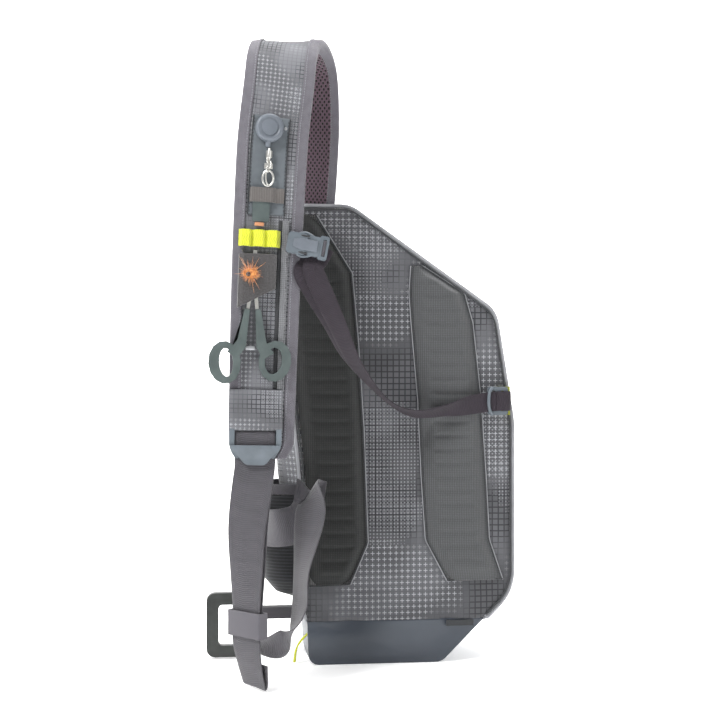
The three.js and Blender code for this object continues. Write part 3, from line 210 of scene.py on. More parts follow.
def printed_ripstop(name, painted_light_gain=1.0, scale=1.0):
    """Nylon ripstop, woven and printed: a matt ground with a fine raised grid, on which patches
    of light plus marks, of small light dots and of dark plaid meet in stepped borders."""
    material, tree, shader = started(name, Roughness=0.8, Sheen_Weight=0.1)
    pitch = settings().print_pitch / METRE * scale
    uv = add(tree, "UVMap").outputs[0]

    def cells_of(size):
        """Cell numbers, and how far a point is from the middle of its cell on both axes."""
        cells = add(tree, "VectorMath", {0: uv, "Scale": 1 / size}, operation="SCALE").outputs[0]
        part = add(tree, "VectorMath", {0: cells}, operation="FRACTION").outputs[0]
        off = add(tree, "VectorMath", {0: part, 1: (0.5, 0.5, 0)}, operation="SUBTRACT").outputs[0]
        away = add(tree, "VectorMath", {0: off}, operation="ABSOLUTE").outputs[0]
        return cells, add(tree, "SeparateXYZ", {0: away})

    def crosses(axes, thin, long):
        """Plus marks in the middle of every cell, as a mask."""
        arms = []
        for narrow, wide in (("X", "Y"), ("Y", "X")):
            across = {0: axes.outputs[narrow], 1: thin * 1.6, 2: thin * 0.5}
            along = {0: axes.outputs[wide], 1: long * 1.2, 2: long * 0.7}
            one = add(tree, "MapRange", across).outputs[0]
            other = add(tree, "MapRange", along).outputs[0]
            arms.append(add(tree, "Math", {0: one, 1: other}, operation="MULTIPLY").outputs[0])
        return add(tree, "Math", {0: arms[0], 1: arms[1]}, operation="MAXIMUM").outputs[0]

    cells, wide_axes = cells_of(pitch)
    _, small_axes = cells_of(pitch * 0.58)
    plus = crosses(wide_axes, 0.05, 0.36)
    dots = crosses(small_axes, 0.11, 0.24)
    edge = add(
        tree,
        "Math",
        {0: wide_axes.outputs["X"], 1: wide_axes.outputs["Y"]},
        operation="MAXIMUM",
    ).outputs[0]
    plaid = add(tree, "MapRange", {0: edge, 1: 0.36, 2: 0.44}).outputs[0]
    grid = add(tree, "MapRange", {0: edge, 1: 0.42, 2: 0.47}).outputs[0]

    snapped = add(tree, "VectorMath", {0: cells}, operation="FLOOR").outputs[0]
    masks = []
    for seed, spread in ((0, 0.085), (53, 0.075), (211, 0.09)):
        moved = add(tree, "VectorMath", {0: snapped, 1: (seed, seed * 2, 5)}, operation="ADD")
        field = {"Vector": moved.outputs[0], "Scale": spread, "Detail": 0.6}
        masks.append(add(tree, "TexNoise", field).outputs[0])
    with_plus = add(tree, "MapRange", {0: masks[0], 1: 0.52, 2: 0.6}).outputs[0]
    with_plaid = add(tree, "MapRange", {0: masks[0], 1: 0.5, 2: 0.43}).outputs[0]
    with_dots = add(tree, "MapRange", {0: masks[1], 1: 0.53, 2: 0.57}).outputs[0]
    in_shade = add(tree, "MapRange", {0: masks[2], 1: 0.46, 2: 0.6}).outputs[0]

    # The ground colour is scaled by the second argument, which is above 1 only for the strap's copy:
    # painted light on the strap that hangs forward in the light.
    ground = [c * painted_light_gain for c in settings().cloth_colour] + [1]
    shaded = [c * 0.66 for c in ground[:3]] + [1]
    colour = add(tree, "Mix", {0: in_shade, 6: ground, 7: shaded}, data_type="RGBA").outputs[2]
    layers = (
        (grid, None, 0.3, 0x3A3A40),
        (plaid, with_plaid, 0.85, 0x1E1E23),
        (dots, with_dots, 0.42, 0xB9BBC0),
        (plus, with_plus, 0.62, 0xC6C8CD),
    )
    for shape, place, amount, ink in layers:
        mask = add(tree, "Math", {0: shape, 1: amount}, operation="MULTIPLY").outputs[0]
        if place:
            mask = add(tree, "Math", {0: mask, 1: place}, operation="MULTIPLY").outputs[0]
        inked = {0: mask, 6: colour, 7: linear(ink)}
        colour = add(tree, "Mix", inked, data_type="RGBA").outputs[2]

    creases = add(tree, "TexNoise", {"Vector": uv, "Scale": 0.05, "Detail": 3}).outputs[0]
    height = add(tree, "Math", {0: creases, 1: 3, 2: grid}, operation="MULTIPLY_ADD").outputs[0]
    dressed(tree, shader, colour, height, 0.3, 0.5)
    return material


def striped_fabric(name, ground, stripe, pitch, across="X", roughness=0.9, crossed=0.0):
    """Warp-knitted stretch fabric: fine raised pinstripes on a dull ground, drawn a little
    coarser than the real 1.5 mm so that they show."""
    material, tree, shader = started(name, Roughness=roughness, Sheen_Weight=0.25)
    uv = add(tree, "UVMap").outputs[0]
    axes = add(tree, "SeparateXYZ", {0: uv})
    turn = {0: axes.outputs[across], 1: 2 * math.pi / pitch}
    phase = add(tree, "Math", turn, operation="MULTIPLY").outputs[0]
    wave = add(tree, "Math", {0: phase}, operation="SINE").outputs[0]
    share = add(tree, "MapRange", {0: wave, 1: -0.2, 2: 0.9}).outputs[0]
    if crossed:
        weft = {0: axes.outputs["Y" if across == "X" else "X"], 1: 2 * math.pi / pitch}
        second = add(tree, "Math", weft, operation="MULTIPLY").outputs[0]
        rise = add(tree, "Math", {0: second}, operation="SINE").outputs[0]
        woven = {0: rise, 1: crossed, 2: share}
        share = add(tree, "Math", woven, operation="MULTIPLY_ADD").outputs[0]
    grain = add(tree, "TexNoise", {"Vector": uv, "Scale": 0.9, "Detail": 2}).outputs[0]
    faded = add(tree, "Math", {0: share, 1: grain}, operation="MULTIPLY").outputs[0]
    colours = {0: faded, 6: linear(ground), 7: linear(stripe)}
    colour = add(tree, "Mix", colours, data_type="RGBA").outputs[2]
    dressed(tree, shader, colour, faded, 0.6)
    return material


def coated_fabric():
    """Heavy nylon with a thermoplastic coating, calendered smooth: a soft blue-grey sheen over
    slight unevenness and a hint of the weave below."""
    material, tree, shader = started("coated_boot_fabric", Roughness=0.42, Coat_Weight=0.12)
    shader.inputs["Coat Roughness"].default_value = 0.35
    place = add(tree, "TexCoord").outputs["Object"]
    broad = add(tree, "TexNoise", {"Vector": place, "Scale": 22, "Detail": 3}).outputs[0]
    fine = add(tree, "TexNoise", {"Vector": place, "Scale": 900, "Detail": 1}).outputs[0]
    colours = {0: broad, 6: linear(0x383D45), 7: linear(0x4C535D)}
    colour = add(tree, "Mix", colours, data_type="RGBA").outputs[2]
    height = add(tree, "Math", {0: broad, 1: 4, 2: fine}, operation="MULTIPLY_ADD").outputs[0]
    dressed(tree, shader, colour, height, 0.18, 0.6)
    return material


def woven_webbing(name, colour, pitch=1.9, roughness=0.82, lift=1.0, sheen=0.3):
    """Nylon webbing, woven flat: cross ribs with a herringbone shift down the middle and a
    slight sheen, its ribs drawn at 1.9 mm because the real 1 mm would not show."""
    material, tree, shader = started(name, Roughness=roughness, Sheen_Weight=sheen)
    uv = add(tree, "UVMap").outputs[0]
    axes = add(tree, "SeparateXYZ", {0: uv})
    bend = add(tree, "Math", {0: axes.outputs["X"], 1: 3.2}, operation="PINGPONG").outputs[0]
    run = add(tree, "Math", {0: bend, 1: 0.55, 2: axes.outputs["Y"]}, operation="MULTIPLY_ADD")
    turn = {0: run.outputs[0], 1: 2 * math.pi / pitch}
    phase = add(tree, "Math", turn, operation="MULTIPLY").outputs[0]
    ribs = add(tree, "Math", {0: phase}, operation="SINE").outputs[0]
    share = add(tree, "MapRange", {0: ribs, 1: -1.0, 2: 1.0}).outputs[0]
    wear = add(tree, "TexNoise", {"Vector": uv, "Scale": 0.12, "Detail": 4}).outputs[0]
    tinted = add(tree, "Math", {0: share, 1: 0.5, 2: wear}, operation="MULTIPLY_ADD").outputs[0]
    low = [c * 0.62 * lift for c in colour] + [1]
    high = [c * 1.28 * lift for c in colour] + [1]
    shown = add(tree, "Mix", {0: tinted, 6: low, 7: high}, data_type="RGBA").outputs[2]
    dressed(tree, shader, shown, share, 0.55)
    return material


def spacer_mesh():
    """Polyester spacer mesh, knitted: a mauve-brown net whose staggered holes look black."""
    material, tree, shader = started("spacer_mesh", Roughness=0.92, Sheen_Weight=0.3)
    uv = add(tree, "UVMap").outputs[0]
    # Holes 4.2 mm apart, as wide as the coarse mesh of a bag's back
    pitch = 4.2
    near = []
    for shift in (0, 0.5):
        per_hole = {0: uv, 1: (1 / pitch, 1 / (1.5 * pitch), 1)}
        cells = add(tree, "VectorMath", per_hole, operation="MULTIPLY")
        moved = add(tree, "VectorMath", {0: cells.outputs[0], 1: (shift, shift, 0)}, operation="ADD")
        part = add(tree, "VectorMath", {0: moved.outputs[0]}, operation="FRACTION").outputs[0]
        off = add(tree, "VectorMath", {0: part, 1: (0.5, 0.5, 0)}, operation="SUBTRACT").outputs[0]
        flat = add(tree, "VectorMath", {0: off, 1: (1, 1, 0)}, operation="MULTIPLY").outputs[0]
        near.append(add(tree, "VectorMath", {0: flat}, operation="LENGTH").outputs["Value"])
    nearest = add(tree, "Math", {0: near[0], 1: near[1]}, operation="MINIMUM").outputs[0]
    solid = add(tree, "MapRange", {0: nearest, 1: 0.18, 2: 0.27}).outputs[0]
    colours = {0: solid, 6: linear(0x141012), 7: linear(0x5C4954)}
    colour = add(tree, "Mix", colours, data_type="RGBA").outputs[2]
    dressed(tree, shader, colour, solid, 0.9, 1.0)
    return material


def moulded(name, code, roughness, grain=0.12, size=500, **sockets):
    """Injection-moulded or dipped plastic: one colour, faintly clouded, with a spark-eroded
    grain that breaks up its highlights."""
    material, tree, shader = started(name, Roughness=roughness, **sockets)
    place = add(tree, "TexCoord").outputs["Object"]
    cloud = add(tree, "TexNoise", {"Vector": place, "Scale": 60, "Detail": 3}).outputs[0]
    fine = add(tree, "TexNoise", {"Vector": place, "Scale": size, "Detail": 2}).outputs[0]
    base = linear(code)
    worn = [min(1, c * 1.3 + 0.01) for c in base[:3]] + [1]
    mask = add(tree, "MapRange", {0: cloud, 1: 0.35, 2: 0.75}).outputs[0]
    colour = add(tree, "Mix", {0: mask, 6: base, 7: worn}, data_type="RGBA").outputs[2]
    dressed(tree, shader, colour, fine, grain)
    return material


def stainless_steel():
    """Stainless steel, ground and polished: bright with fine lengthwise brush marks."""
    material, tree, shader = started("polished_stainless", Metallic=0.85, Roughness=0.3)
    place = add(tree, "TexCoord").outputs["Object"]
    drawn = add(tree, "Mapping", {"Vector": place, "Scale": (3000, 3000, 120)}).outputs[0]
    brush = add(tree, "TexNoise", {"Vector": drawn, "Scale": 1, "Detail": 2}).outputs[0]
    colours = {0: brush, 6: linear(0xCFCEC9), 7: linear(0xF2F1EC)}
    colour = add(tree, "Mix", colours, data_type="RGBA").outputs[2]
    dressed(tree, shader, colour, brush, 0.04)
    return material


def fleece():
    """Fleece laminated on foam: short matted pile, dark grey, rough all over."""
    material, tree, shader = started("fleece_on_foam", Roughness=0.98, Sheen_Weight=0.5)
    place = add(tree, "TexCoord").outputs["Object"]
    pile = add(tree, "TexNoise", {"Vector": place, "Scale": 650, "Detail": 4}).outputs[0]
    colours = {0: pile, 6: linear(0x2B2929), 7: linear(0x5A5859)}
    colour = add(tree, "Mix", colours, data_type="RGBA").outputs[2]
    dressed(tree, shader, colour, pile, 0.9, 0.8)
    return material


def dubbing():
    """Dyed fur dubbing and hackle: loose orange fibres that run from straw to rust."""
    material, tree, shader = started("dyed_dubbing", Roughness=0.6, Sheen_Weight=0.4)
    place = add(tree, "TexCoord").outputs["Object"]
    hue = add(tree, "TexNoise", {"Vector": place, "Scale": 420, "Detail": 2}).outputs[0]
    spread = add(tree, "MapRange", {0: hue, 1: 0.3, 2: 0.7}).outputs[0]
    colours = {0: spread, 6: linear(0xA9541D), 7: linear(0xF0A85C)}
    colour = add(tree, "Mix", colours, data_type="RGBA").outputs[2]
    dressed(tree, shader, colour, hue, 0.3)
    return material


MATERIALS = {}


def make_materials():
    """Makes every finish once, under the name that the pieces ask for."""
    webbing = list(settings().webbing_colour)
    accent = list(settings().accent_colour)
    MATERIALS.update(
        cloth=printed_ripstop("printed_ripstop"),
        # The strap's copy of the printed ripstop is 1.6 times brighter as painted light on the
        # forward-hanging strap; its smaller print is real.
        strap_cloth=printed_ripstop("printed_ripstop_strap_painted_light", 1.6, 0.7),
        pad=striped_fabric("pinstriped_pad_fabric", 0x444546, 0x65676A, 1.8, crossed=0.3),
        # The left pad's fabric is darker than the right's: partly painted shade of the strap hanging
        # in front of it, partly a darker tone of that pad's cloth.
        pad_dark=striped_fabric("pinstriped_pad_fabric_dark_and_painted_shade", 0x1E1F1F, 0x363837, 1.8, crossed=0.3),
        facing=striped_fabric("strap_facing", 0x6C6D70, 0x8F9093, 1.9, "Y", crossed=0.5),
        boot=coated_fabric(),
        webbing=woven_webbing("nylon_webbing", webbing),
        tape=woven_webbing("grosgrain_edge_tape", webbing, 1.6, 0.85, 1.95),
        hem_tape=woven_webbing("grosgrain_in_shade", webbing, 1.6, 0.85, 0.75),
        keeper_tape=woven_webbing("grosgrain_keeper", webbing, 1.6, 0.85, 1.5),
        strap_web=woven_webbing("dark_flat_webbing", (0.021, 0.015, 0.022), 1.7, 0.8, 1.0, 0.06),
        cord=moulded("covered_piping_cord", 0x8C8D91, 0.8, 0.5, 900),
        lining=spacer_mesh(),
        zip=striped_fabric("coated_zip_tape", 0x26282B, 0x3D4043, 1.8, "Y", 0.6),
        accent=woven_webbing("bright_elastic", accent, 2.2, 0.75),
        # The lock's tab is the bright accent tape at 0.4 of its colour: painted shade.
        olive=woven_webbing("bright_tape_in_shade", [c * 0.4 for c in accent], 2.2, 0.8),
        elastic=striped_fabric("ribbed_elastic", 0x5C5856, 0x7A7673, 1.6, "Y"),
        pocket=striped_fabric("striped_stretch_pocket", 0x101114, 0x35373C, 3.4, "Y"),
        fleece=fleece(),
        rubber=moulded("rubberised_patch", 0x595F64, 0.62, 0.2, 700),
        acetal=moulded("moulded_acetal", 0x5E666D, 0.38),
        nylon=moulded("moulded_black_nylon", 0x2B2E2C, 0.5, 0.2, 400),
        puck=moulded("moulded_puck", 0x666C74, 0.4),
        grip=moulded("soft_touch_dip", 0x495352, 0.5, 0.15, 600),
        steel=stainless_steel(),
        jaw=moulded("copper_coated_jaw", 0xC48A66, 0.42, 0.1, 500, Metallic=0.2),
        fly=dubbing(),
        bead=moulded("lacquered_bead", 0x3A1E10, 0.15, 0.02, 300, Coat_Weight=0.6),
        thread=moulded("polyester_thread", 0x8C8D92, 0.75, 0.3, 1500),
        dark_thread=moulded("dark_polyester_thread", 0x3A393D, 0.8, 0.3, 1500),
        rivet=moulded("nickel_rivet", 0x9EA0A3, 0.3, 0.05, 300, Metallic=0.6),
    )


# Shaping tools


def finished(name, mesh, finish, nodes=(), modifiers=(), sharp=None):
    """Turns a bmesh in millimetres into a piece that rides on the bag."""
    bmesh.ops.scale(mesh, vec=(METRE, METRE, METRE), verts=mesh.verts)
    for face in mesh.faces:
        face.smooth = True
    data = bpy.data.meshes.new(name)
    mesh.to_mesh(data)
    mesh.free()
    data.materials.append(MATERIALS[finish])
    if sharp is not None:
        data.set_sharp_from_angle(angle=math.radians(sharp))
    piece = bpy.data.objects.new(name, data)
    bpy.context.scene.collection.objects.link(piece)
    for kind, choices in modifiers:
        made = piece.modifiers.new(kind.title(), kind)
        for key, value in choices.items():
            setattr(made, key, value)
    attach(piece, "root")
    if nodes:
        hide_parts(*nodes)
    return piece


def wall(thickness, offset=0.0):
    """A Solidify modifier of a thickness in millimetres."""
    return ("SOLIDIFY", {"thickness": thickness * METRE, "offset": offset, "use_rim": True})


def rounded(width, segments=2):
    """A Bevel modifier of a width in millimetres on every sharp edge."""
    return (
        "BEVEL",
        {"width": width * METRE, "segments": segments, "limit_method": "ANGLE", "profile": 0.5},
    )


def bent_grid(columns, rows, place, size=(1, 1)):
    """A grid of quads bent to place(u, v), its map in millimetres over the given size."""
    mesh = bmesh.new()
    maps = mesh.loops.layers.uv.new("UVMap")
    bmesh.ops.create_grid(mesh, x_segments=columns, y_segments=rows, size=0.5)
    for face in mesh.faces:
        for loop in face.loops:
            at = loop.vert.co
            loop[maps].uv = ((at.x + 0.5) * size[0], (at.y + 0.5) * size[1])
    for vert in mesh.verts:
        vert.co = place(vert.co.x + 0.5, vert.co.y + 0.5)
    return mesh


def mapped(mesh, across, up):
    """Maps a mesh straight along two of its axes, in millimetres."""
    maps = mesh.loops.layers.uv.verify()
    for face in mesh.faces:
        for loop in face.loops:
            loop[maps].uv = (loop.vert.co[across], loop.vert.co[up])


def closed_up(mesh):
    """Joins the meeting edges of a bent grid, closes its ends and turns its faces outwards."""
    bmesh.ops.remove_doubles(mesh, verts=mesh.verts, dist=0.001)
    bmesh.ops.holes_fill(mesh, edges=[e for e in mesh.edges if e.is_boundary], sides=0)
    bmesh.ops.recalc_face_normals(mesh, faces=mesh.faces)
    return mesh


def copy_of(node):
    """The mesh of a CAD node in millimetres, its loose triangles joined and its flats merged."""
    mesh = bmesh.new()
    mesh.from_mesh(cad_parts[node].data)
    bmesh.ops.scale(mesh, vec=(1 / METRE, 1 / METRE, 1 / METRE), verts=mesh.verts)
    bmesh.ops.remove_doubles(mesh, verts=mesh.verts, dist=0.01)
    bmesh.ops.dissolve_limit(
        mesh, angle_limit=math.radians(2), verts=mesh.verts, edges=mesh.edges
    )
    return mesh


def softened(node, name, finish, width=0.4, segments=3, sharp=50):
    """A hard piece made from its CAD node, with its edges rounded."""
    return finished(name, copy_of(node), finish, (node,), [rounded(width, segments)], sharp)


def tube(points, radius, sides=10):
    """A round cord through points."""
    count = len(points)
    rings = []
    before = None
    for i, point in enumerate(points):
        along = (points[min(i + 1, count - 1)] - points[max(i - 1, 0)]).normalized()
        side = before or (Vector((0, 1, 0)) if abs(along.y) < 0.9 else Vector((1, 0, 0)))
        side = (side - along * side.dot(along)).normalized()
        before = side
        rings.append((point, side, along.cross(side)))

    def place(u, v):
        spot = v * (count - 1)
        i = min(int(spot), count - 2)
        share = spot - i
        turn = 2 * math.pi * u
        middle, side, other = (a.lerp(b, share) for a, b in zip(rings[i], rings[i + 1]))
        return middle + (side * math.cos(turn) + other * math.sin(turn)) * radius

    length = sum((b - a).length for a, b in zip(points, points[1:]))
    size = (2 * math.pi * radius, length)
    return closed_up(bent_grid(sides, count - 1, place, size))


def lay(mesh, points, radius):
    """Adds a thin cord along points to a mesh."""
    run = tube(points, radius, 8)
    data = bpy.data.meshes.new("cord")
    run.to_mesh(data)
    run.free()
    mesh.from_mesh(data)
    bpy.data.meshes.remove(data)


def stitched(mesh, points, out, pitch=3.4, length=2.3, radius=0.34):
    """Adds a run of stitches along points; out gives the way off the cloth at a point."""
    travelled = pitch / 2
    for a, b in zip(points, points[1:]):
        span = (b - a).length
        while travelled < span:
            along = (b - a).normalized()
            off = out - along * out.dot(along)
            off.normalize()
            turn = Matrix((along.cross(off), along, off)).transposed().to_4x4()
            spot = Matrix.Translation(a.lerp(b, travelled / span))
            size = Matrix.Diagonal((radius, length / 2, radius * 0.8, 1))
            bmesh.ops.create_icosphere(mesh, subdivisions=1, radius=1, matrix=spot @ turn @ size)
            travelled += pitch
        travelled -= span


def spline(points, share):
    """A point on the smooth curve through points, at a share of their number."""
    last = len(points) - 1
    i = min(int(share * last), last - 1)
    w = share * last - i
    p1, p2 = points[i], points[i + 1]
    p0 = points[i - 1] if i else p1 * 2 - p2
    p3 = points[i + 2] if i + 2 <= last else p2 * 2 - p1
    a, b = (p2 - p0) * 0.5, (p3 - p1) * 0.5
    cube, square = w**3, w**2
    return (
        p1 * (2 * cube - 3 * square + 1)
        + a * (cube - 2 * square + w)
        + p2 * (3 * square - 2 * cube)
        + b * (cube - square)
    )


class Route:
    """The middle line of a flat band, with the way its width points at each station."""

    def __init__(self, stations, samples=400):
        self.points = [Vector(at) for at, wide in stations]
        self.wides = [Vector(wide).normalized() for at, wide in stations]
        marks = [spline(self.points, i / samples) for i in range(samples + 1)]
        self.lengths = [0]
        for a, b in zip(marks, marks[1:]):
            self.lengths.append(self.lengths[-1] + (b - a).length)
        self.length = self.lengths[-1]

    def at_length(self, share):
        """The curve's own parameter at a share of its length."""
        goal = share * self.length
        low, high = 0, len(self.lengths) - 1
        while high - low > 1:
            middle = (low + high) // 2
            if self.lengths[middle] > goal:
                high = middle
            else:
                low = middle
        span = self.lengths[high] - self.lengths[low]
        return (low + (goal - self.lengths[low]) / span) / (len(self.lengths) - 1)

    def frame(self, t):
        """Middle, along, across and out at a parameter."""
        a, b = max(0, t - 1e-4), min(1, t + 1e-4)
        along = (spline(self.points, b) - spline(self.points, a)).normalized()
        across = spline(self.wides, t)
        across = (across - along * across.dot(along)).normalized()
        return spline(self.points, t), along, across, along.cross(across)

    def band(self, width, thickness, rows, columns=8):
        """A woven band along the route, a closed flat tube with its map in millimetres."""
        half = thickness / 2

        def section(u):
            """Across and off the middle, round the woven edge."""
            turn = 2 * math.pi * u
            c, s = math.cos(turn), math.sin(turn)
            flat = abs(c) ** 0.35 * math.copysign(1, c)
            return flat * width / 2, abs(s) ** 0.45 * math.copysign(half, s)

        def place(u, v):
            middle, along, across, out = self.frame(self.at_length(v))
            a, n = section(u)
            return middle + across * a + out * n

        return closed_up(bent_grid(columns * 4, rows, place, (2 * width, self.length)))


# Form of the bag body

# Corners of the back panel in shares of the bag's width and height, with their radii in widths
PANEL_CORNERS = [
    (-0.288, 0, 0.042),
    (-0.318, 0.42, 1),
    (-0.443, 1, 0.095),
    (-0.114, 1, 0.11),
    (0.52, 0.772, 0.11),
    (0.597, 0.53, 0.5),
    (0.597, 0.156, 0.21),
    (0.29, 0, 0.06),
]
# Sections from the panel to the front: how deep, how wide, and how far down the foot reaches
BODY_DEPTHS = [0, 0.3, 0.62, 0.84, 0.95, 1, 1.03, 1.03]
BODY_SPREADS = [1, 1.006, 0.99, 0.94, 0.87, 0.72, 0.36, 0.01]
BODY_FOOTS = [1, 1, 1, 1, 0.97, 0.85, 0.42, 0.01]
# How much deeper, and how much shallower, the body is at shares of its height
BODY_SWELL = [(0, 0), (0.16, 0.6), (0.38, 1), (0.62, 0.9), (0.84, 0.6), (1, 0)]
BODY_SLIM = [(0, 0), (0.38, 0), (0.62, 0.05), (0.84, 0.24), (1, 0.36)]
MIDDLE = Vector((0.06 * BAG_WIDTH, 0.46 * BAG_HEIGHT))
# The filled body's left side swells out most at this height
BELLY = 20
BELLY_HEIGHT = 0.44 * BAG_HEIGHT
BELLY_REACH = 0.34 * BAG_HEIGHT
# Edges of the pads' seams: share of the bag's height, and place across in bag widths
LEFT_PAD = [
    (0.175, -0.114),
    (0.264, -0.038),
    (0.513, -0.056),
    (0.704, -0.08),
    (0.858, -0.107),
    (0.985, -0.262),
]
RIGHT_PAD_LEFT = [
    (0.18, 0.318),
    (0.27, 0.224),
    (0.412, 0.205),
    (0.58, 0.19),
    (0.749, 0.161),
    (0.815, 0.152),
    (0.875, 0.16),
]
RIGHT_PAD_RIGHT = [
    (0.18, 0.555),
    (0.27, 0.495),
    (0.412, 0.48),
    (0.58, 0.458),
    (0.749, 0.422),
    (0.815, 0.385),
    (0.875, 0.2),
]


ARC_STEPS = 12


def panel_outline(count):
    """The back panel's outline, evenly spaced points in X and Z, from the foot on the left."""
    corners = []
    for x, z, radius in PANEL_CORNERS:
        corners.append((Vector((x * BAG_WIDTH, z * BAG_HEIGHT)), radius * BAG_WIDTH))
    path = []
    for i, (at, radius) in enumerate(corners):
        back = (corners[i - 1][0] - at).normalized()
        ahead = (corners[(i + 1) % len(corners)][0] - at).normalized()
        turn = math.pi - back.angle(ahead)
        start = at + back * radius * math.tan(turn / 2)
        centre = at + (back + ahead).normalized() * radius / math.cos(turn / 2)
        sense = math.copysign(1, back.x * ahead.y - back.y * ahead.x)
        arm = start - centre
        for k in range(ARC_STEPS + 1):
            angle = -sense * turn * k / ARC_STEPS
            c, s = math.cos(angle), math.sin(angle)
            path.append(centre + Vector((arm.x * c - arm.y * s, arm.x * s + arm.y * c)))
    path.append(path[0])
    lengths = [0]
    for a, b in zip(path, path[1:]):
        lengths.append(lengths[-1] + (b - a).length)
    even = []
    i = 0
    for k in range(count):
        goal = lengths[-1] * k / count
        while lengths[i + 1] < goal:
            i += 1
        share = (goal - lengths[i]) / max(1e-6, lengths[i + 1] - lengths[i])
        even.append(path[i].lerp(path[i + 1], share))
    return even


OUTLINE = panel_outline(320)
PANEL_HEM = 0.17 * BAG_HEIGHT
ZIP_Y = PANEL_Y + 0.24 * BASE_DEPTH + 6


def outline_x(height, side):
    """Where the outline lies at a height, on the left (-1) or on the right (1)."""
    best = []
    for i, a in enumerate(OUTLINE):
        b = OUTLINE[(i + 1) % len(OUTLINE)]
        if a.y != b.y and (a.y - height) * (b.y - height) <= 0:
            best.append(mix(a.x, b.x, (height - a.y) / (b.y - a.y)))
    if not best:
        return OUTLINE[0].x if side < 0 else OUTLINE[-1].x
    return max(best) if side > 0 else min(best)


def body_depth(height):
    """How far the body stands out from the panel at a height."""
    share = height / BAG_HEIGHT
    swell = between(BODY_SWELL, share)
    return BASE_DEPTH + swell * (BAG_DEPTH - BASE_DEPTH) - between(BODY_SLIM, share) * BAG_DEPTH


def body_mesh(rows=70):
    """The whole body as one closed skin with slight folds."""
    count = len(OUTLINE)
    depths = [Vector(row) for row in zip(BODY_DEPTHS, BODY_SPREADS, BODY_FOOTS)]
    girth = sum((OUTLINE[i] - OUTLINE[i - 1]).length for i in range(count))
    wrinkle = settings().wrinkle / METRE

    def place(u, v):
        flat = OUTLINE[round(u * count) % count]
        step = spline(depths, v)
        spot = flat - MIDDLE
        spot = Vector((spot.x * step.y, spot.y * (step.y if spot.y > 0 else step.z))) + MIDDLE
        spot.y = max(0, spot.y)
        y = PANEL_Y + body_depth(spot.y) * step.x
        ease = smooth(v * 5) * smooth(spot.y / 60)
        away = spot - MIDDLE
        fold = rough(spot.x, y * 0.6, spot.y * 1.7, 34) * 0.5 + rough(spot.x, y, spot.y, 78)
        if away.length > 1:
            spot += away.normalized() * (fold - 0.35) * wrinkle * ease
        on_side = smooth(v / 0.16) * smooth((0.62 - v) / 0.3)
        at_height = smooth(1 - abs(spot.y - BELLY_HEIGHT) / BELLY_REACH)
        spot.x -= BELLY * on_side * at_height * smooth((MIDDLE.x - flat.x) / 60)
        return Vector((spot.x, y, spot.y))

    mesh = bent_grid(count, rows, place, (girth, BAG_DEPTH * 2))
    return closed_up(mesh)


def cut_off(mesh, point, normal):
    """Cuts away what lies on the normal's side of a plane."""
    bmesh.ops.bisect_plane(
        mesh,
        geom=mesh.verts[:] + mesh.edges[:] + mesh.faces[:],
        plane_co=point,
        plane_no=normal,
        clear_outer=True,
    )


FLOOR_Z = -0.2
CAMERA_AT = (-0.1927, -1.5092, 0.311)
CAMERA_YAW = -7
CAMERA_LENS = 70.85
SKY = 0.24
WHITE = (1, 1, 1, 1)
# Name, place, power in watts, size and what it is aimed at, in metres
LIGHTS = (
    ("key", (-1.35, -1.35, 2.0), 44, 0.6, (0, 0, 0.3)),
    ("fill", (1.6, -1.7, 1.0), 7, 1.4, (0, 0, 0.3)),
    ("top", (0.2, 0.0, 2.1), 30, 1.2, (0, 0, 0.3)),
    ("back", (0.2, 1.0, 1.9), 30, 1.8, (0, 1.9, 0.3)),
)


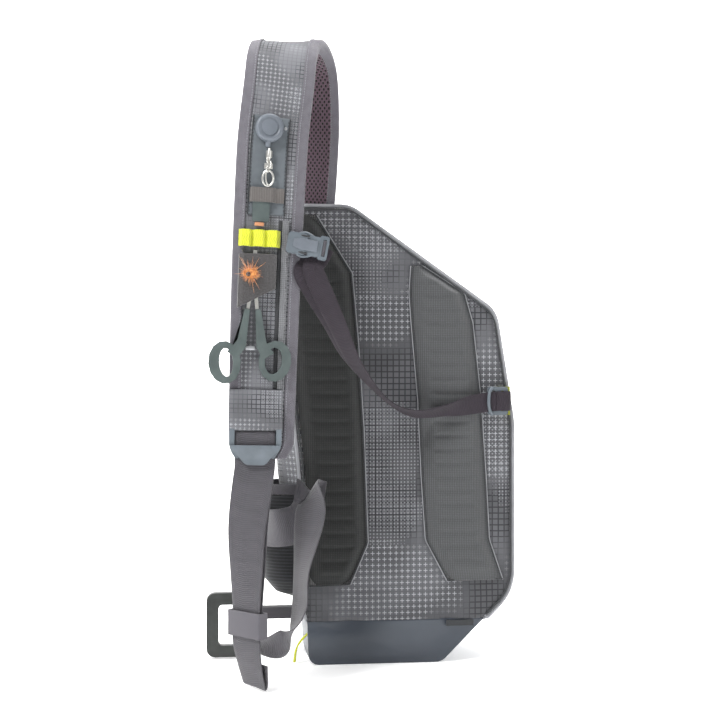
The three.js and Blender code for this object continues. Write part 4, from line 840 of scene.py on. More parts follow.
class SLING_OT_stage(Operator):
    """Floor, soft light and the camera at the photograph's angle"""

    bl_idname = "sling.stage"
    bl_label = "Stage"

    def execute(self, context):
        scene = context.scene
        scene.view_settings.view_transform = "Standard"
        camera_data = bpy.data.cameras.new("camera")
        camera_data.lens = CAMERA_LENS
        camera_data.sensor_width = 36
        camera = bpy.data.objects.new("camera", camera_data)
        camera.location = CAMERA_AT
        camera.rotation_euler = (math.radians(90), 0, math.radians(CAMERA_YAW))
        scene.collection.objects.link(camera)
        scene.camera = camera

        world = bpy.data.worlds.new("studio")
        world.use_nodes = True
        sky = world.node_tree.nodes["Background"]
        sky.inputs[0].default_value = WHITE
        sky.inputs[1].default_value = SKY
        backdrop = add(world.node_tree, "Background", {"Color": WHITE, "Strength": 1.0})
        seen = add(world.node_tree, "LightPath").outputs["Is Camera Ray"]
        both = {0: seen, 1: sky.outputs[0], 2: backdrop.outputs[0]}
        shown = add(world.node_tree, "MixShader", both).outputs[0]
        world.node_tree.links.new(shown, world.node_tree.nodes["World Output"].inputs[0])
        scene.world = world

        material, tree, shader = started("white_paper_sweep", Roughness=0.9)
        place = add(tree, "TexCoord").outputs["Object"]
        tint = add(tree, "TexNoise", {"Vector": place, "Scale": 2, "Detail": 2}).outputs[0]
        white = {0: tint, 6: linear(0xF8F8F8), 7: linear(0xFFFFFF)}
        colour = add(tree, "Mix", white, data_type="RGBA").outputs[2]
        tree.links.new(colour, shader.inputs["Base Color"])
        shader.inputs["Emission Color"].default_value = WHITE
        away = add(tree, "VectorMath", {0: place}, operation="LENGTH").outputs["Value"]
        # Paper far from the bag glows more, so that the floor has no grey horizon
        limits = {"Value": away, "From Min": 0.9, "From Max": 2.2, "To Min": 0.42, "To Max": 1.0}
        glow = add(tree, "MapRange", limits)
        tree.links.new(glow.outputs[0], shader.inputs["Emission Strength"])

        def sweep(u, v):
            """A flat floor that curves up into a backdrop."""
            run = v * 6200
            across = (u - 0.5) * 9000
            flat, bend, radius, fore = 4200, 1000, 640, 3000
            if run < flat:
                return Vector((across, run - fore, FLOOR_Z))
            turn = min(1, (run - flat) / bend) * math.pi / 2
            rise = max(0, run - flat - bend) * 2
            up = radius * (1 - math.cos(turn)) + rise
            return Vector((across, flat - fore + radius * math.sin(turn), up + FLOOR_Z))

        mesh = bent_grid(8, 62, sweep)
        bmesh.ops.scale(mesh, vec=(METRE, METRE, METRE), verts=mesh.verts)
        data = bpy.data.meshes.new("sweep")
        mesh.to_mesh(data)
        mesh.free()
        data.materials.append(material)
        floor = bpy.data.objects.new("sweep", data)
        scene.collection.objects.link(floor)

        for name, at, power, size, target in LIGHTS:
            light = bpy.data.lights.new(name, "AREA")
            light.energy = power
            light.size = size
            lamp = bpy.data.objects.new(name, light)
            lamp.location = at
            aim = Vector(target) - Vector(at)
            lamp.rotation_euler = aim.to_track_quat("-Z", "Y").to_euler()
            scene.collection.objects.link(lamp)
        return {"FINISHED"}


class SLING_OT_body(Operator):
    """Boot, back panel, shell, zip and edge piping"""

    bl_idname = "sling.body"
    bl_label = "Bag body"

    def execute(self, context):
        low = body_mesh()
        cut_off(low, (0, 0, BOOT_HEIGHT), (0, 0, 1))
        finished("boot_cup", low, "boot", ("boot",), [wall(1.6, -1)])

        shell = body_mesh()
        cut_off(shell, (0, 0, BOOT_HEIGHT + GAP), (0, 0, -1))
        cut_off(shell, (0, PANEL_Y + 0.6, 0), (0, -1, 0))
        maps = shell.loops.layers.uv.active
        for face in shell.faces:
            normal = face.normal
            for loop in face.loops:
                at = loop.vert.co
                if abs(normal.y) > 0.75:
                    loop[maps].uv = (at.x, at.z)
                elif abs(normal.x) > abs(normal.z):
                    loop[maps].uv = (at.y, at.z)
                else:
                    loop[maps].uv = (at.x, at.y)
        finished("shell_cloth", shell, "cloth", ("bag_shell",), [wall(1.4, -1)])

        self.panel()
        self.zip()
        self.piping()
        return {"FINISHED"}

    def panel(self):
        """The cloth of the back panel, drawn down at the pads' seams."""
        seams = [
            lambda s: between(LEFT_PAD, s) * BAG_WIDTH,
            lambda s: between(RIGHT_PAD_LEFT, s) * BAG_WIDTH,
            lambda s: between(RIGHT_PAD_RIGHT, s) * BAG_WIDTH,
        ]

        def place(u, v):
            z = mix(BOOT_HEIGHT + GAP, BAG_HEIGHT - 0.4, v)
            left, right = outline_x(z, -1) + 0.6, outline_x(z, 1) - 0.6
            x = mix(left, right, u)
            share = z / BAG_HEIGHT
            near = min(abs(x - seam(share)) for seam in seams)
            near = min(near, abs(z - PANEL_HEM) * 1.2)
            edge = smooth(min(x - left, right - x) / 7)
            crown = 1.6 * smooth(near / 16) * edge
            folds = 0.7 * rough(x, 0, z, 30) + 0.35 * rough(x + z, 5, z - x, 13)
            return Vector((x, PANEL_Y + 0.9 - crown - folds * edge * smooth(near / 9), z))

        panel = bent_grid(170, 260, place)
        mapped(panel, 0, 2)
        bmesh.ops.recalc_face_normals(panel, faces=panel.faces)
        if sum(face.normal.y for face in panel.faces) > 0:
            bmesh.ops.reverse_faces(panel, faces=panel.faces)
        finished("panel_cloth", panel, "cloth", ("back_panel",), [wall(1.2, -1)])

    def zip(self):
        """Zip tape over the top and both sides, with its teeth."""
        stations = []
        for flat in OUTLINE:
            end = (0.3 if flat.x > 0 else 0.45) * BAG_HEIGHT
            if flat.y > end:
                spot = (flat - MIDDLE) * 1.0058 + MIDDLE
                stations.append((Vector((spot.x, ZIP_Y, spot.y)), Vector((0, 1, 0))))
        route = Route(stations, 900)
        tape = route.band(12, 1.0, 300, 4)
        finished("zip_tape", tape, "zip", ("main_zip",))
        teeth = bmesh.new()
        pitch = 2.4
        for i in range(int(route.length / pitch)):
            middle, along, across, out = route.frame(route.at_length(i * pitch / route.length))
            side = 0.9 if i % 2 else -0.9
            turn = Matrix((across, along, out)).transposed().to_4x4()
            flip = -1 if out.dot(middle - Vector((MIDDLE.x, ZIP_Y, MIDDLE.y))) < 0 else 1
            spot = Matrix.Translation(middle + across * side + out * 0.6 * flip)
            size = Matrix.Diagonal((3.2, 1.5, 1.1, 1))
            bmesh.ops.create_cube(teeth, size=1, matrix=spot @ turn @ size)
        finished("zip_teeth", teeth, "nylon", (), [rounded(0.25, 1)], 40)
        softened("zip_slider", "zip_slider_pull", "acetal", 0.5)

    def piping(self):
        """Covered cord round the panel's edge, and thin cords in the pads' seams."""
        outside = []
        count = len(OUTLINE)
        for i, flat in enumerate(OUTLINE):
            if flat.y < BOOT_HEIGHT + 3:
                continue
            along = (OUTLINE[(i + 1) % count] - OUTLINE[i - 1]).normalized()
            away = Vector((-along.y, along.x)) * 2.4
            outside.append(Vector((flat.x + away.x, PANEL_Y + 2.2, flat.y + away.y)))
        inside = []
        for at in outside:
            inwards = (Vector((MIDDLE.x, at.y, MIDDLE.y)) - at).normalized()
            inside.append(at + inwards * 3.6 - Vector((0, 3.2, 0)))
        for end in (0, -1):
            tucked = outside[end] + Vector((6 if end == 0 else -6, 5, -2))
            outside.insert(0 if end == 0 else len(outside), tucked)
        edge = tube(outside, 2.15, 12)
        finished("edge_cord", edge, "cord", ("edge_piping",))
        finished("edge_seam", tube(inside, 0.95, 8), "zip", ())
        cords = bmesh.new()
        gaps = bmesh.new()
        for rows, out in ((LEFT_PAD, 1), (RIGHT_PAD_LEFT, -1), (RIGHT_PAD_RIGHT, 1)):
            for mesh, aside, radius in ((cords, 1.5 * out, 0.5), (gaps, 0, 1.0)):
                points = []
                for k in range(90):
                    share = mix(rows[0][0], rows[-1][0], k / 89)
                    x = between(rows, share) * BAG_WIDTH + aside
                    points.append(Vector((x, PANEL_Y - 1.1, share * BAG_HEIGHT)))
                points = [spline(points, k / 140) for k in range(141)]
                lay(mesh, points, radius)
        for x0, x1, z0, z1 in (
            (outline_x(80, -1) + 3, LEFT_PAD[0][1] * BAG_WIDTH, 80, 0.175 * BAG_HEIGHT),
            (0.318 * BAG_WIDTH, 0.56 * BAG_WIDTH, 0.18 * BAG_HEIGHT, 85),
        ):
            start, end = Vector((x0, PANEL_Y - 1.0, z0)), Vector((x1, PANEL_Y - 1.0, z1))
            lay(gaps, [start.lerp(end, k / 12) for k in range(13)], 0.8)
        finished("seam_cords", cords, "cord", ())
        finished("seam_gaps", gaps, "zip", ())
        softened("hem_tab", "hem_tab_tape", "zip", 0.3)


PAD_RISE = 7.2


class SLING_OT_pads(Operator):
    """The two ribbed back pads"""

    bl_idname = "sling.pads"
    bl_label = "Back pads"

    def execute(self, context):
        left_edge = [(z / BAG_HEIGHT, (outline_x(z, -1) + 3) / BAG_WIDTH) for z in range(78, 464, 6)]
        # The left pad takes the darker fabric, partly painted shade of the strap in front of it.
        self.pad("pad_left_cover", "pad_left", "pad_dark", left_edge, LEFT_PAD)
        self.pad("pad_right_cover", "pad_right", "pad", RIGHT_PAD_LEFT, RIGHT_PAD_RIGHT)
        return {"FINISHED"}

    def pad(self, name, node, finish, left_rows, right_rows):
        """A crowned pad whose ribs fade towards its seams."""
        low, high = right_rows[0][0] * BAG_HEIGHT, right_rows[-1][0] * BAG_HEIGHT
        pitch = settings().rib_pitch / METRE
        depth = settings().rib_depth / METRE

        def place(u, v):
            z = mix(low, high, v)
            share = z / BAG_HEIGHT
            left = between(left_rows, share) * BAG_WIDTH
            right = max(between(right_rows, share) * BAG_WIDTH, left + 1)
            x = mix(left, right, u)
            inside = min(x - left, right - x)
            ends = min(z - low, high - z)
            rise = 1 - (1 - smooth(inside / 15)) ** 1.3
            rise *= 0.3 + 0.7 * smooth(ends / 16)
            shown = smooth((inside - 7) / 11) * smooth((ends - 3) / 14)
            bow = 1.2 * math.sin(math.pi * u)
            phase = (z + bow) / pitch
            turn = 2 * math.pi * phase
            groove = (0.5 - 0.5 * math.cos(turn - 0.5 * math.sin(turn))) ** 1.3
            crown = (PAD_RISE + 0.8 * math.sin(math.pi * u)) * rise
            relief = crown - depth * groove * shown
            return Vector((x, PANEL_Y - GAP - 0.2 - relief, z + 0.25 * rough(x, 0, z, 20)))

        cover = bent_grid(70, 420, place)
        mapped(cover, 0, 2)
        finished(name, closed_up(cover), finish, (node,))


# Form of the strap

# Stations from the body over the loop to the strap's end: rise, drop, reach and drift in
# shares of the loop's sizes, and the width there
STRAP_ROUTE = [
    (-0.04, 0, 0, 0, 0.9),
    (0.12, 0, -0.02, -0.03, 0.95),
    (0.5, 0, -0.03, -0.07, 1),
    (0.82, 0, 0.08, -0.02, 1),
    (0.96, 0, 0.27, 0.15, 1),
    (1, 0, 0.53, 0.42, 1),
    (1, 0.04, 0.78, 0.56, 1),
    (1, 0.115, 0.91, 0.64, 1),
    (1, 0.25, 0.965, 0.77, 1),
    (1, 0.42, 0.99, 0.85, 0.99),
    (1, 0.62, 1, 0.92, 0.97),
    (1, 0.82, 1, 0.97, 0.94),
    (1, 0.96, 1, 1, 0.92),
    (1, 1, 1, 1, 0.7),
]
STRAP = Route(
    [
        (
            (
                STRAP_ROOT.x - drift * LOOP_DRIFT,
                STRAP_ROOT.y - reach * LOOP_REACH,
                STRAP_ROOT.z + rise * LOOP_RISE - drop * STRAP_DROP,
            ),
            (1, 0, 0),
        )
        for rise, drop, reach, drift, width in STRAP_ROUTE
    ]
)


def strap_width(t):
    """The share of its full width that the strap has at a parameter."""
    place = t * (len(STRAP_ROUTE) - 1)
    row = min(int(place), len(STRAP_ROUTE) - 2)
    return mix(STRAP_ROUTE[row][4], STRAP_ROUTE[row + 1][4], place - row)


def strap_parameter(height):
    """The strap's parameter at a height on its hanging front."""
    low, high = 5 / (len(STRAP_ROUTE) - 1), 1
    for _ in range(40):
        middle = (low + high) / 2
        if spline(STRAP.points, middle).z > height:
            low = middle
        else:
            high = middle
    return (low + high) / 2


def dock(beside, height, off, spin=0.0):
    """Takes a form drawn with x right, y up and z off the strap's face to its place there."""
    middle, along, across, out = STRAP.frame(strap_parameter(height))
    turn = Matrix((across, -along, out)).transposed().to_4x4()
    local = Matrix.Translation((beside, 0, off)) @ Matrix.Rotation(spin, 4, "Z")
    return Matrix.Translation(middle) @ turn @ local


def dock_z(share):
    """A height on the hanging strap, as a share of its drop."""
    return STRAP_END_Z + share * STRAP_DROP


def on_strap(top, bottom, beside, width, off, columns, rows, relief=None):
    """A sheet that follows the strap's front between two heights."""
    t0, t1 = strap_parameter(dock_z(top)), strap_parameter(dock_z(bottom))

    def place(u, v):
        middle, along, across, out = STRAP.frame(mix(t0, t1, v))
        lift = relief(u, v) if relief else 0
        return middle + across * (beside + (u - 0.5) * width) + out * (off + lift)

    return bent_grid(columns, rows, place, (width, (top - bottom) * STRAP_DROP))


class SLING_OT_strap(Operator):
    """Padded shoulder strap, its lining and edge bindings"""

    bl_idname = "sling.strap"
    bl_label = "Shoulder strap"

    def execute(self, context):
        rows = 360

        face, edge = 0.44, 0.06

        def pad_section(u, half):
            """Across and off the middle, round the padded section."""
            if u < face:
                a = mix(-half, half, u / face)
                return a, self.crown(a, half)
            if u < face + edge:
                return half, mix(1, -1, (u - face) / edge) * self.crown(half, half)
            if u < 1 - edge:
                a = mix(half, -half, (u - face - edge) / face)
                return a, -self.crown(a, half)
            return -half, mix(-1, 1, (u - 1 + edge) / edge) * self.crown(half, half)

        def place(u, v):
            t = STRAP.at_length(v)
            middle, along, across, out = STRAP.frame(t)
            a, n = pad_section(u, HALF_PAD * strap_width(t))
            if u < face and t > 0.4:
                inside = smooth((HALF_PAD - abs(a)) / 14)
                n += 0.35 * inside * rough(a, 9, v * STRAP.length, 24)
            return middle + across * a + out * n

        pad = closed_up(bent_grid(100, rows, place, (2 * HALF_PAD / face, STRAP.length)))
        finished("strap_cushion", pad, "strap_cloth", ("strap_pad",))

        def lining(u, v):
            t = STRAP.at_length(v)
            middle, along, across, out = STRAP.frame(t)
            reach = HALF_PAD * strap_width(t) - BINDING_WIDTH - GAP + 2
            a = mix(-reach, reach, u)
            unevenness = 0.3 * rough(a, 3, v * STRAP.length, 22)
            return middle + across * a - out * (FACE + 1.0 + unevenness)

        sheet = bent_grid(30, rows, lining, (2 * HALF_PAD - 2 * BINDING_WIDTH, STRAP.length))
        finished("strap_lining", sheet, "lining", ("strap_mesh",), [wall(1.7)])

        stitches = bmesh.new()
        for side, name in ((-1, "left"), (1, "right")):
            self.binding(side, name, rows)
            for face_side in (1, -1):
                points = []
                for k in range(241):
                    t = STRAP.at_length(k / 240)
                    middle, along, across, out = STRAP.frame(t)
                    half = HALF_PAD * strap_width(t)
                    a = half - BINDING_WIDTH + 1.8
                    n = self.crown(a, half) + GAP + BINDING_THICKNESS + 0.1
                    spot = middle + across * a * side + out * n * face_side
                    points.append((spot, out * face_side))
                self.sew(stitches, points)
        finished("strap_stitches", stitches, "thread", ())
        return {"FINISHED"}

    def crown(self, a, half):
        """Half the pad's thickness at a place across it."""
        inside = smooth((half - abs(a)) / (BINDING_WIDTH * 1.15))
        return mix(STRAP_EDGE, STRAP_THICKNESS, inside) / 2

    def sew(self, mesh, points):
        """Stitches along points that each know their own way off the cloth."""
        for (a, out), (b, _) in zip(points, points[1:]):
            stitched(mesh, [a, b], out)

    def binding(self, side, name, rows):
        """Folded tape round one edge of the strap."""

        def place(u, v):
            t = STRAP.at_length(v)
            middle, along, across, out = STRAP.frame(t)
            half = HALF_PAD * strap_width(t)
            turn = (u - 0.5) * 2
            arm = 0.82
            if abs(turn) > 1 - arm:
                reach = (abs(turn) - (1 - arm)) / arm * BINDING_WIDTH
                a = half - reach
                n = (self.crown(a, half) + GAP + BINDING_THICKNESS / 2) * math.copysign(1, turn)
            else:
                angle = turn / (1 - arm) * math.pi / 2
                a = half + math.cos(angle) * (GAP + BINDING_THICKNESS / 2)
                n = (self.crown(half, half) + GAP + BINDING_THICKNESS / 2) * math.sin(angle)
            n += 0.12 * rough(v * STRAP.length, a, side * 7, 9)
            return middle + across * a * side + out * n

        tape = bent_grid(26, rows, place, (2 * BINDING_WIDTH + 8, STRAP.length))
        node = "strap_binding_" + name
        finished("edge_binding_" + name, tape, "tape", (node,), [wall(1.1)])


PATCH_THICKNESS = 1.6
ON_PATCH = FACE + PATCH_THICKNESS + GAP
# Top and bottom in shares of the strap's drop, place beside its middle, and width
PATCH = (0.805, 0.573, -3, 35)
RAIL = (0.562, 0.165, 16.5, 6.5)
# The dark strip under the rail's loops is painted shadow.
RAIL_PAINTED_SHADOW = (0.562, 0.165, 11.4, 3.4)
FLAP = (0.163, 0.067, -6.5, 50.5)
# How far the flap rises where it passes over the ladder lock's top bar
FLAP_RISE = 10.4


class SLING_OT_docks(Operator):
    """What is sewn on the strap's front: patch, rail, bands, fly patch and flap"""

    bl_idname = "sling.docks"
    bl_label = "Strap docks"

    def execute(self, context):
        def rim(u, v):
            """Draws the patch down at its sewn sides."""
            near = min(u, 1 - u) * PATCH[3]
            return -0.5 * (1 - smooth(near / 2.5))

        patch = on_strap(*PATCH, FACE + 0.8, 30, 60, rim)
        finished("dock_patch_sheet", patch, "rubber", ("dock_patch",), [wall(1.3)])

        top, bottom, beside, width = PATCH
        for side, name in ((-1, "left"), (1, "right")):
            line = on_strap(top, bottom, beside + side * width / 2, 1.1, FACE + 0.75, 2, 60)
            finished("patch_edge_" + name, line, "zip", (), [wall(1.5)])

        def rail_relief(u, v):
            """Loops between the rail's tacks."""
            return 0.5 * smooth((math.sin(v * 46) + 0.75) * 1.3) - 0.25

        rail = on_strap(*RAIL, FACE + 0.7, 8, 160, rail_relief)
        finished("rail_loops", rail, "facing", ("strap_rail",), [wall(1.2)])
        # A dark strip of zip cloth under the rail stands for the rail's shadow: painted shadow.
        slot = on_strap(*RAIL_PAINTED_SHADOW, FACE + 0.25, 4, 80)
        finished("rail_shadow", slot, "zip", (), [wall(0.5)])

        def flap_relief(u, v):
            """Lays the flap over the lock's top bar and down at its edges."""
            near = min(min(u, 1 - u) * 50, min(v, 1 - v) * 38)
            bar = smooth((v - 0.3) / 0.5) - 0.45 * smooth((v - 0.9) / 0.1)
            dip = -0.7 * (1 - smooth(near / 3)) + 0.4 * rough(u * 45, 2, v * 40, 13)
            return dip + FLAP_RISE * bar

        # The flap takes the strap's brighter cloth, with its painted light.
        flap = on_strap(*FLAP, OVER + 1.1, 60, 54, flap_relief)
        finished("flap_cloth", flap, "strap_cloth", ("anchor_flap",), [wall(1.5)])
        stitches = bmesh.new()
        for beside in (-19.2, 13.2):
            self.seam(stitches, 0.8, 0.578, beside, FACE + 1.6)
        self.seam(stitches, 0.56, 0.167, 18.7, FACE + 1.4)
        finished("dock_stitches", stitches, "dark_thread", ())

        self.band("elastic_keeper", "dock_elastic", "elastic", "elastic", 0.4)
        self.band("bright_band", "yellow_band", "accent", "yellow_tape", 0.45)
        self.sleeve()
        rivet = bmesh.new()
        spot = dock(11, 532, ON_PATCH + 0.4)
        flat = spot @ Matrix.Diagonal((1, 1, 0.4, 1))
        bmesh.ops.create_uvsphere(rivet, u_segments=20, v_segments=10, radius=1.6, matrix=flat)
        finished("strap_rivet", rivet, "rivet", ())
        return {"FINISHED"}

    def seam(self, mesh, top, bottom, beside, off):
        """A straight run of stitches down the strap's front."""
        t0, t1 = strap_parameter(dock_z(top)), strap_parameter(dock_z(bottom))
        points = []
        for k in range(25):
            middle, along, across, out = STRAP.frame(mix(t0, t1, k / 24))
            points.append(middle + across * beside + out * off)
        stitched(mesh, points, out)

    def band(self, name, node, finish, slot, width):
        """A band from its CAD form, cut into triangles and given a map across the strap."""
        mesh = copy_of(node)
        bmesh.ops.triangulate(mesh, faces=mesh.faces)
        mapped(mesh, 2, 0)
        finished(name, mesh, finish, (node,), [rounded(width, 3)], 60)

    def sleeve(self):
        """Fly patch, cut on a slant above the forceps' handles."""
        mesh = copy_of("fly_patch")
        low, high = (Vector(corner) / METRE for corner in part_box("fly_patch"))
        slant = 19
        cut_off(mesh, (low.x, 0, low.z + 4), (slant, 0, low.x - high.x))
        bmesh.ops.holes_fill(mesh, edges=[e for e in mesh.edges if e.is_boundary], sides=0)
        edges = [rounded(0.8, 3)]
        finished("fly_patch_fleece", mesh, "fleece", ("fly_patch",), edges, 60)


# The retractor's outline from its back to its dished face: radius and height
PUCK_PROFILE = [
    (0, 0),
    (11, 0),
    (12.2, 1.2),
    (12.4, 3),
    (12.4, 6.2),
    (11.6, 8.2),
    (10.4, 9),
    (9, 8.9),
    (8.3, 8.3),
    (0, 8.3),
]
PUCK_SPREAD = 1.09
FLEECE_THICKNESS = 9.5


def moved_part(mesh, parts, way):
    """Moves the corners among some parts of a mesh."""
    verts = [part for part in parts if isinstance(part, bmesh.types.BMVert)]
    bmesh.ops.translate(mesh, vec=way, verts=verts)


def ring_of(spot, wide, high, steps):
    """Points round an oval at a place, the last on the first."""
    turns = [2 * math.pi * k / steps for k in range(steps + 1)]
    return [spot @ Vector((wide * math.cos(turn), high * math.sin(turn), 0)) for turn in turns]


class SLING_OT_tools(Operator):
    """Retractor, nipper, forceps and the tied fly"""

    bl_idname = "sling.tools"
    bl_label = "Docked tools"

    def execute(self, context):
        self.retractor()
        softened("nipper", "nipper_body", "grip", 0.7)
        softened("nipper_jaw", "nipper_lip", "jaw", 0.4)
        softened("forceps_steel", "forceps_shanks", "steel", 0.6)
        softened("forceps_ring_left", "forceps_bow_left", "grip", 1.9, 4, 60)
        softened("forceps_ring_right", "forceps_bow_right", "grip", 1.9, 4, 60)
        catch = bmesh.new()
        spot = dock(-13.5, 322, ON_PATCH + 3) @ Matrix.Diagonal((9, 4, 1.8, 1))
        bmesh.ops.create_cube(catch, size=1, matrix=spot)
        finished("forceps_ratchet", catch, "rivet", (), [rounded(0.5)])
        self.fly()
        return {"FINISHED"}

    def retractor(self):
        """The turned puck with its face, and the swivel, links and clip below it."""
        spot = dock(-4.5, dock_z(0.775), ON_PATCH)
        puck = bmesh.new()
        verts = [puck.verts.new((x * PUCK_SPREAD, 0, z)) for x, z in PUCK_PROFILE]
        edges = [puck.edges.new(pair) for pair in zip(verts, verts[1:])]
        bmesh.ops.spin(
            puck,
            geom=verts + edges,
            cent=(0, 0, 0),
            axis=(0, 0, 1),
            angle=2 * math.pi,
            steps=64,
            use_merge=True,
        )
        bmesh.ops.remove_doubles(puck, verts=puck.verts, dist=0.01)
        neck = Matrix.Translation((0, -14.6, 4.05)) @ Matrix.Rotation(math.pi / 2, 4, "X")
        bmesh.ops.create_cone(
            puck, cap_ends=True, segments=24, radius1=3, radius2=2.3, depth=7, matrix=neck
        )
        bmesh.ops.recalc_face_normals(puck, faces=puck.faces)
        bmesh.ops.transform(puck, matrix=spot, verts=puck.verts)
        finished("retractor_puck", puck, "puck", ("retractor",), [rounded(0.4)], 40)

        face = bmesh.new()
        bmesh.ops.create_circle(face, cap_ends=True, segments=48, radius=7.6)
        raised = bmesh.ops.extrude_face_region(face, geom=face.faces[:])["geom"]
        moved_part(face, raised, (0, 0, 1))
        bmesh.ops.recalc_face_normals(face, faces=face.faces)
        bmesh.ops.transform(face, matrix=spot @ Matrix.Translation((0, 0, 8.5)), verts=face.verts)
        nodes, edges = ("retractor_face",), [rounded(0.35, 3)]
        finished("retractor_disc", face, "puck", nodes, edges, 40)
        softened("swivel", "swivel_link", "steel", 0.35, 3, 45)

        clip = dock(-3, dock_z(0.658), ON_PATCH + 4.05)
        loop = ring_of(clip, 5.1, 7.3, 48)
        finished("clip_ring_wire", tube(loop, 1.05, 12), "steel", ("clip_ring",))
        bends = ((-1.8, 6.4), (-2.1, 2), (-1.6, -3), (0.4, -6.6))
        gate = [clip @ Vector((x, y, 0.9)) for x, y in bends]
        bent = [spline(gate, k / 20) for k in range(21)]
        finished("clip_gate", tube(bent, 0.8, 10), "steel", ())
        links = bmesh.new()
        for k, share in enumerate((0.7, 0.69, 0.68)):
            at = dock(-3.4 + 1.2 * (k % 2), dock_z(share), ON_PATCH + 4.4 + 0.8 * (k % 2))
            lean = Matrix.Rotation(0.9 * (-1) ** k, 4, "Y")
            lay(links, ring_of(at @ lean, 2.3, 3.1, 24), 0.75)
        finished("swivel_rings", links, "steel", ())

    def fly(self):
        """Dubbed body, hackle and tail fibres, and the bead at the head."""
        rng = random.Random(7)
        spot = dock(-16, dock_z(0.432), OVER + FLEECE_THICKNESS + GAP + 3.2)
        body = bmesh.new()
        size = Matrix.Diagonal((7.2, 5.0, 3.2, 1))
        bmesh.ops.create_icosphere(body, subdivisions=4, radius=1, matrix=spot @ size)
        for vert in body.verts:
            vert.co += vert.normal * 0.9 * rough(*vert.co, 2.2)
        for k in range(settings().fibre_count):
            turn = rng.uniform(0, 2 * math.pi)
            tilt = rng.uniform(-0.25, 0.75)
            long = rng.uniform(3.5, 7.5) * (2.3 if k % 17 == 0 else 1)
            way = Vector((math.cos(turn), math.sin(turn) * 0.9, tilt)).normalized()
            base = Vector((way.x * 3.5, way.y * 2.6, 0.6))
            turned = way.to_track_quat("Z", "Y").to_matrix().to_4x4()
            at = Matrix.Translation(base + way * long / 2)
            bmesh.ops.create_cone(
                body,
                cap_ends=True,
                segments=3,
                radius1=0.28 if long < 8 else 0.42,
                radius2=0.08,
                depth=long,
                matrix=spot @ at @ turned,
            )
        finished("fly_dressing", body, "fly", ("fly_body",))
        bead = bmesh.new()
        spot = dock(-18, dock_z(0.432) - 1, OVER + FLEECE_THICKNESS + 2 * GAP + 8.4)
        bmesh.ops.create_uvsphere(bead, u_segments=24, v_segments=14, radius=2.3, matrix=spot)
        finished("fly_head_bead", bead, "bead", ("fly_bead",))


# Form of the webbing

POCKET_BULGE = 42
POCKET_TOP = 172
POCKET_DEPTH = 84
POCKET_Y = PANEL_Y + 14 + POCKET_DEPTH / 2
POCKET_X = outline_x(POCKET_TOP, -1) + 4
LOCK = (0.035, -6.5)
LOCK_N = OVER + 2 + GAP
LOAD_N = LOCK_N + WEBBING_THICKNESS / 2
TAIL_N = LOAD_N + WEBBING_THICKNESS + 3 + 2 * GAP
BAR_TOP = 6 + 2.5 + GAP + WEBBING_THICKNESS / 2


def lock_at(off):
    """The middle of the ladder lock, some way off the strap's face."""
    return dock(LOCK[1], dock_z(LOCK[0]), off) @ Vector((0, 0, 0))


LOAD_TOP = lock_at(LOAD_N)
TAIL_TOP = lock_at(TAIL_N)
SEWN = Vector(
    (POCKET_X - POCKET_BULGE - 5 - GAP, POCKET_Y - 0.1 * POCKET_DEPTH, 0.81 * POCKET_TOP)
)
# From the pocket to the keeper: side in webbing widths, share of the way to the strap, share of
# the lock's height, and the way that the webbing's width points
LOAD_ROUTE = [
    (0, -0.1, 0.6, 180, 90),
    (0, 0.25, 0.61, 180, 90),
    (0.4, 0.52, 0.62, 170, 78),
    (0.98, 0.6, 0.65, 150, 50),
    (1.2, 0.7, 0.74, 125, 14),
    (1.19, 0.77, 0.79, 104, 0),
    (1.17, 0.83, 0.7, 135, -4),
    (0.93, 0.89, 0.47, 108, 0),
    (0.84, 0.93, 0.3, 112, -28),
    (0.46, 1, 0.185, 122, -58),
]
KEEPER_HIGH, KEEPER_LOW, KEEPER_YAW, TAIL_YAW = 0.34, 0.2, 130, 121
KEEPER_SIDE = -0.22


def web(at, yaw, tip=0):
    """A station of webbing whose width points by yaw about Z and tip off level, in degrees."""
    yaw, tip = math.radians(yaw), math.radians(tip)
    level = math.cos(tip)
    return (Vector(at), Vector((level * math.cos(yaw), level * math.sin(yaw), math.sin(tip))))


def hung(side, height, off, yaw):
    """A station of the hanging tail, at a share of the lock's height."""
    across = math.radians(yaw - 90)
    x = LOAD_TOP.x + side * WEBBING_WIDTH + off * math.cos(across)
    y = TAIL_TOP.y - 0.02 * WEBBING_WIDTH + off * math.sin(across)
    return web((x, y, height * LOAD_TOP.z), yaw)


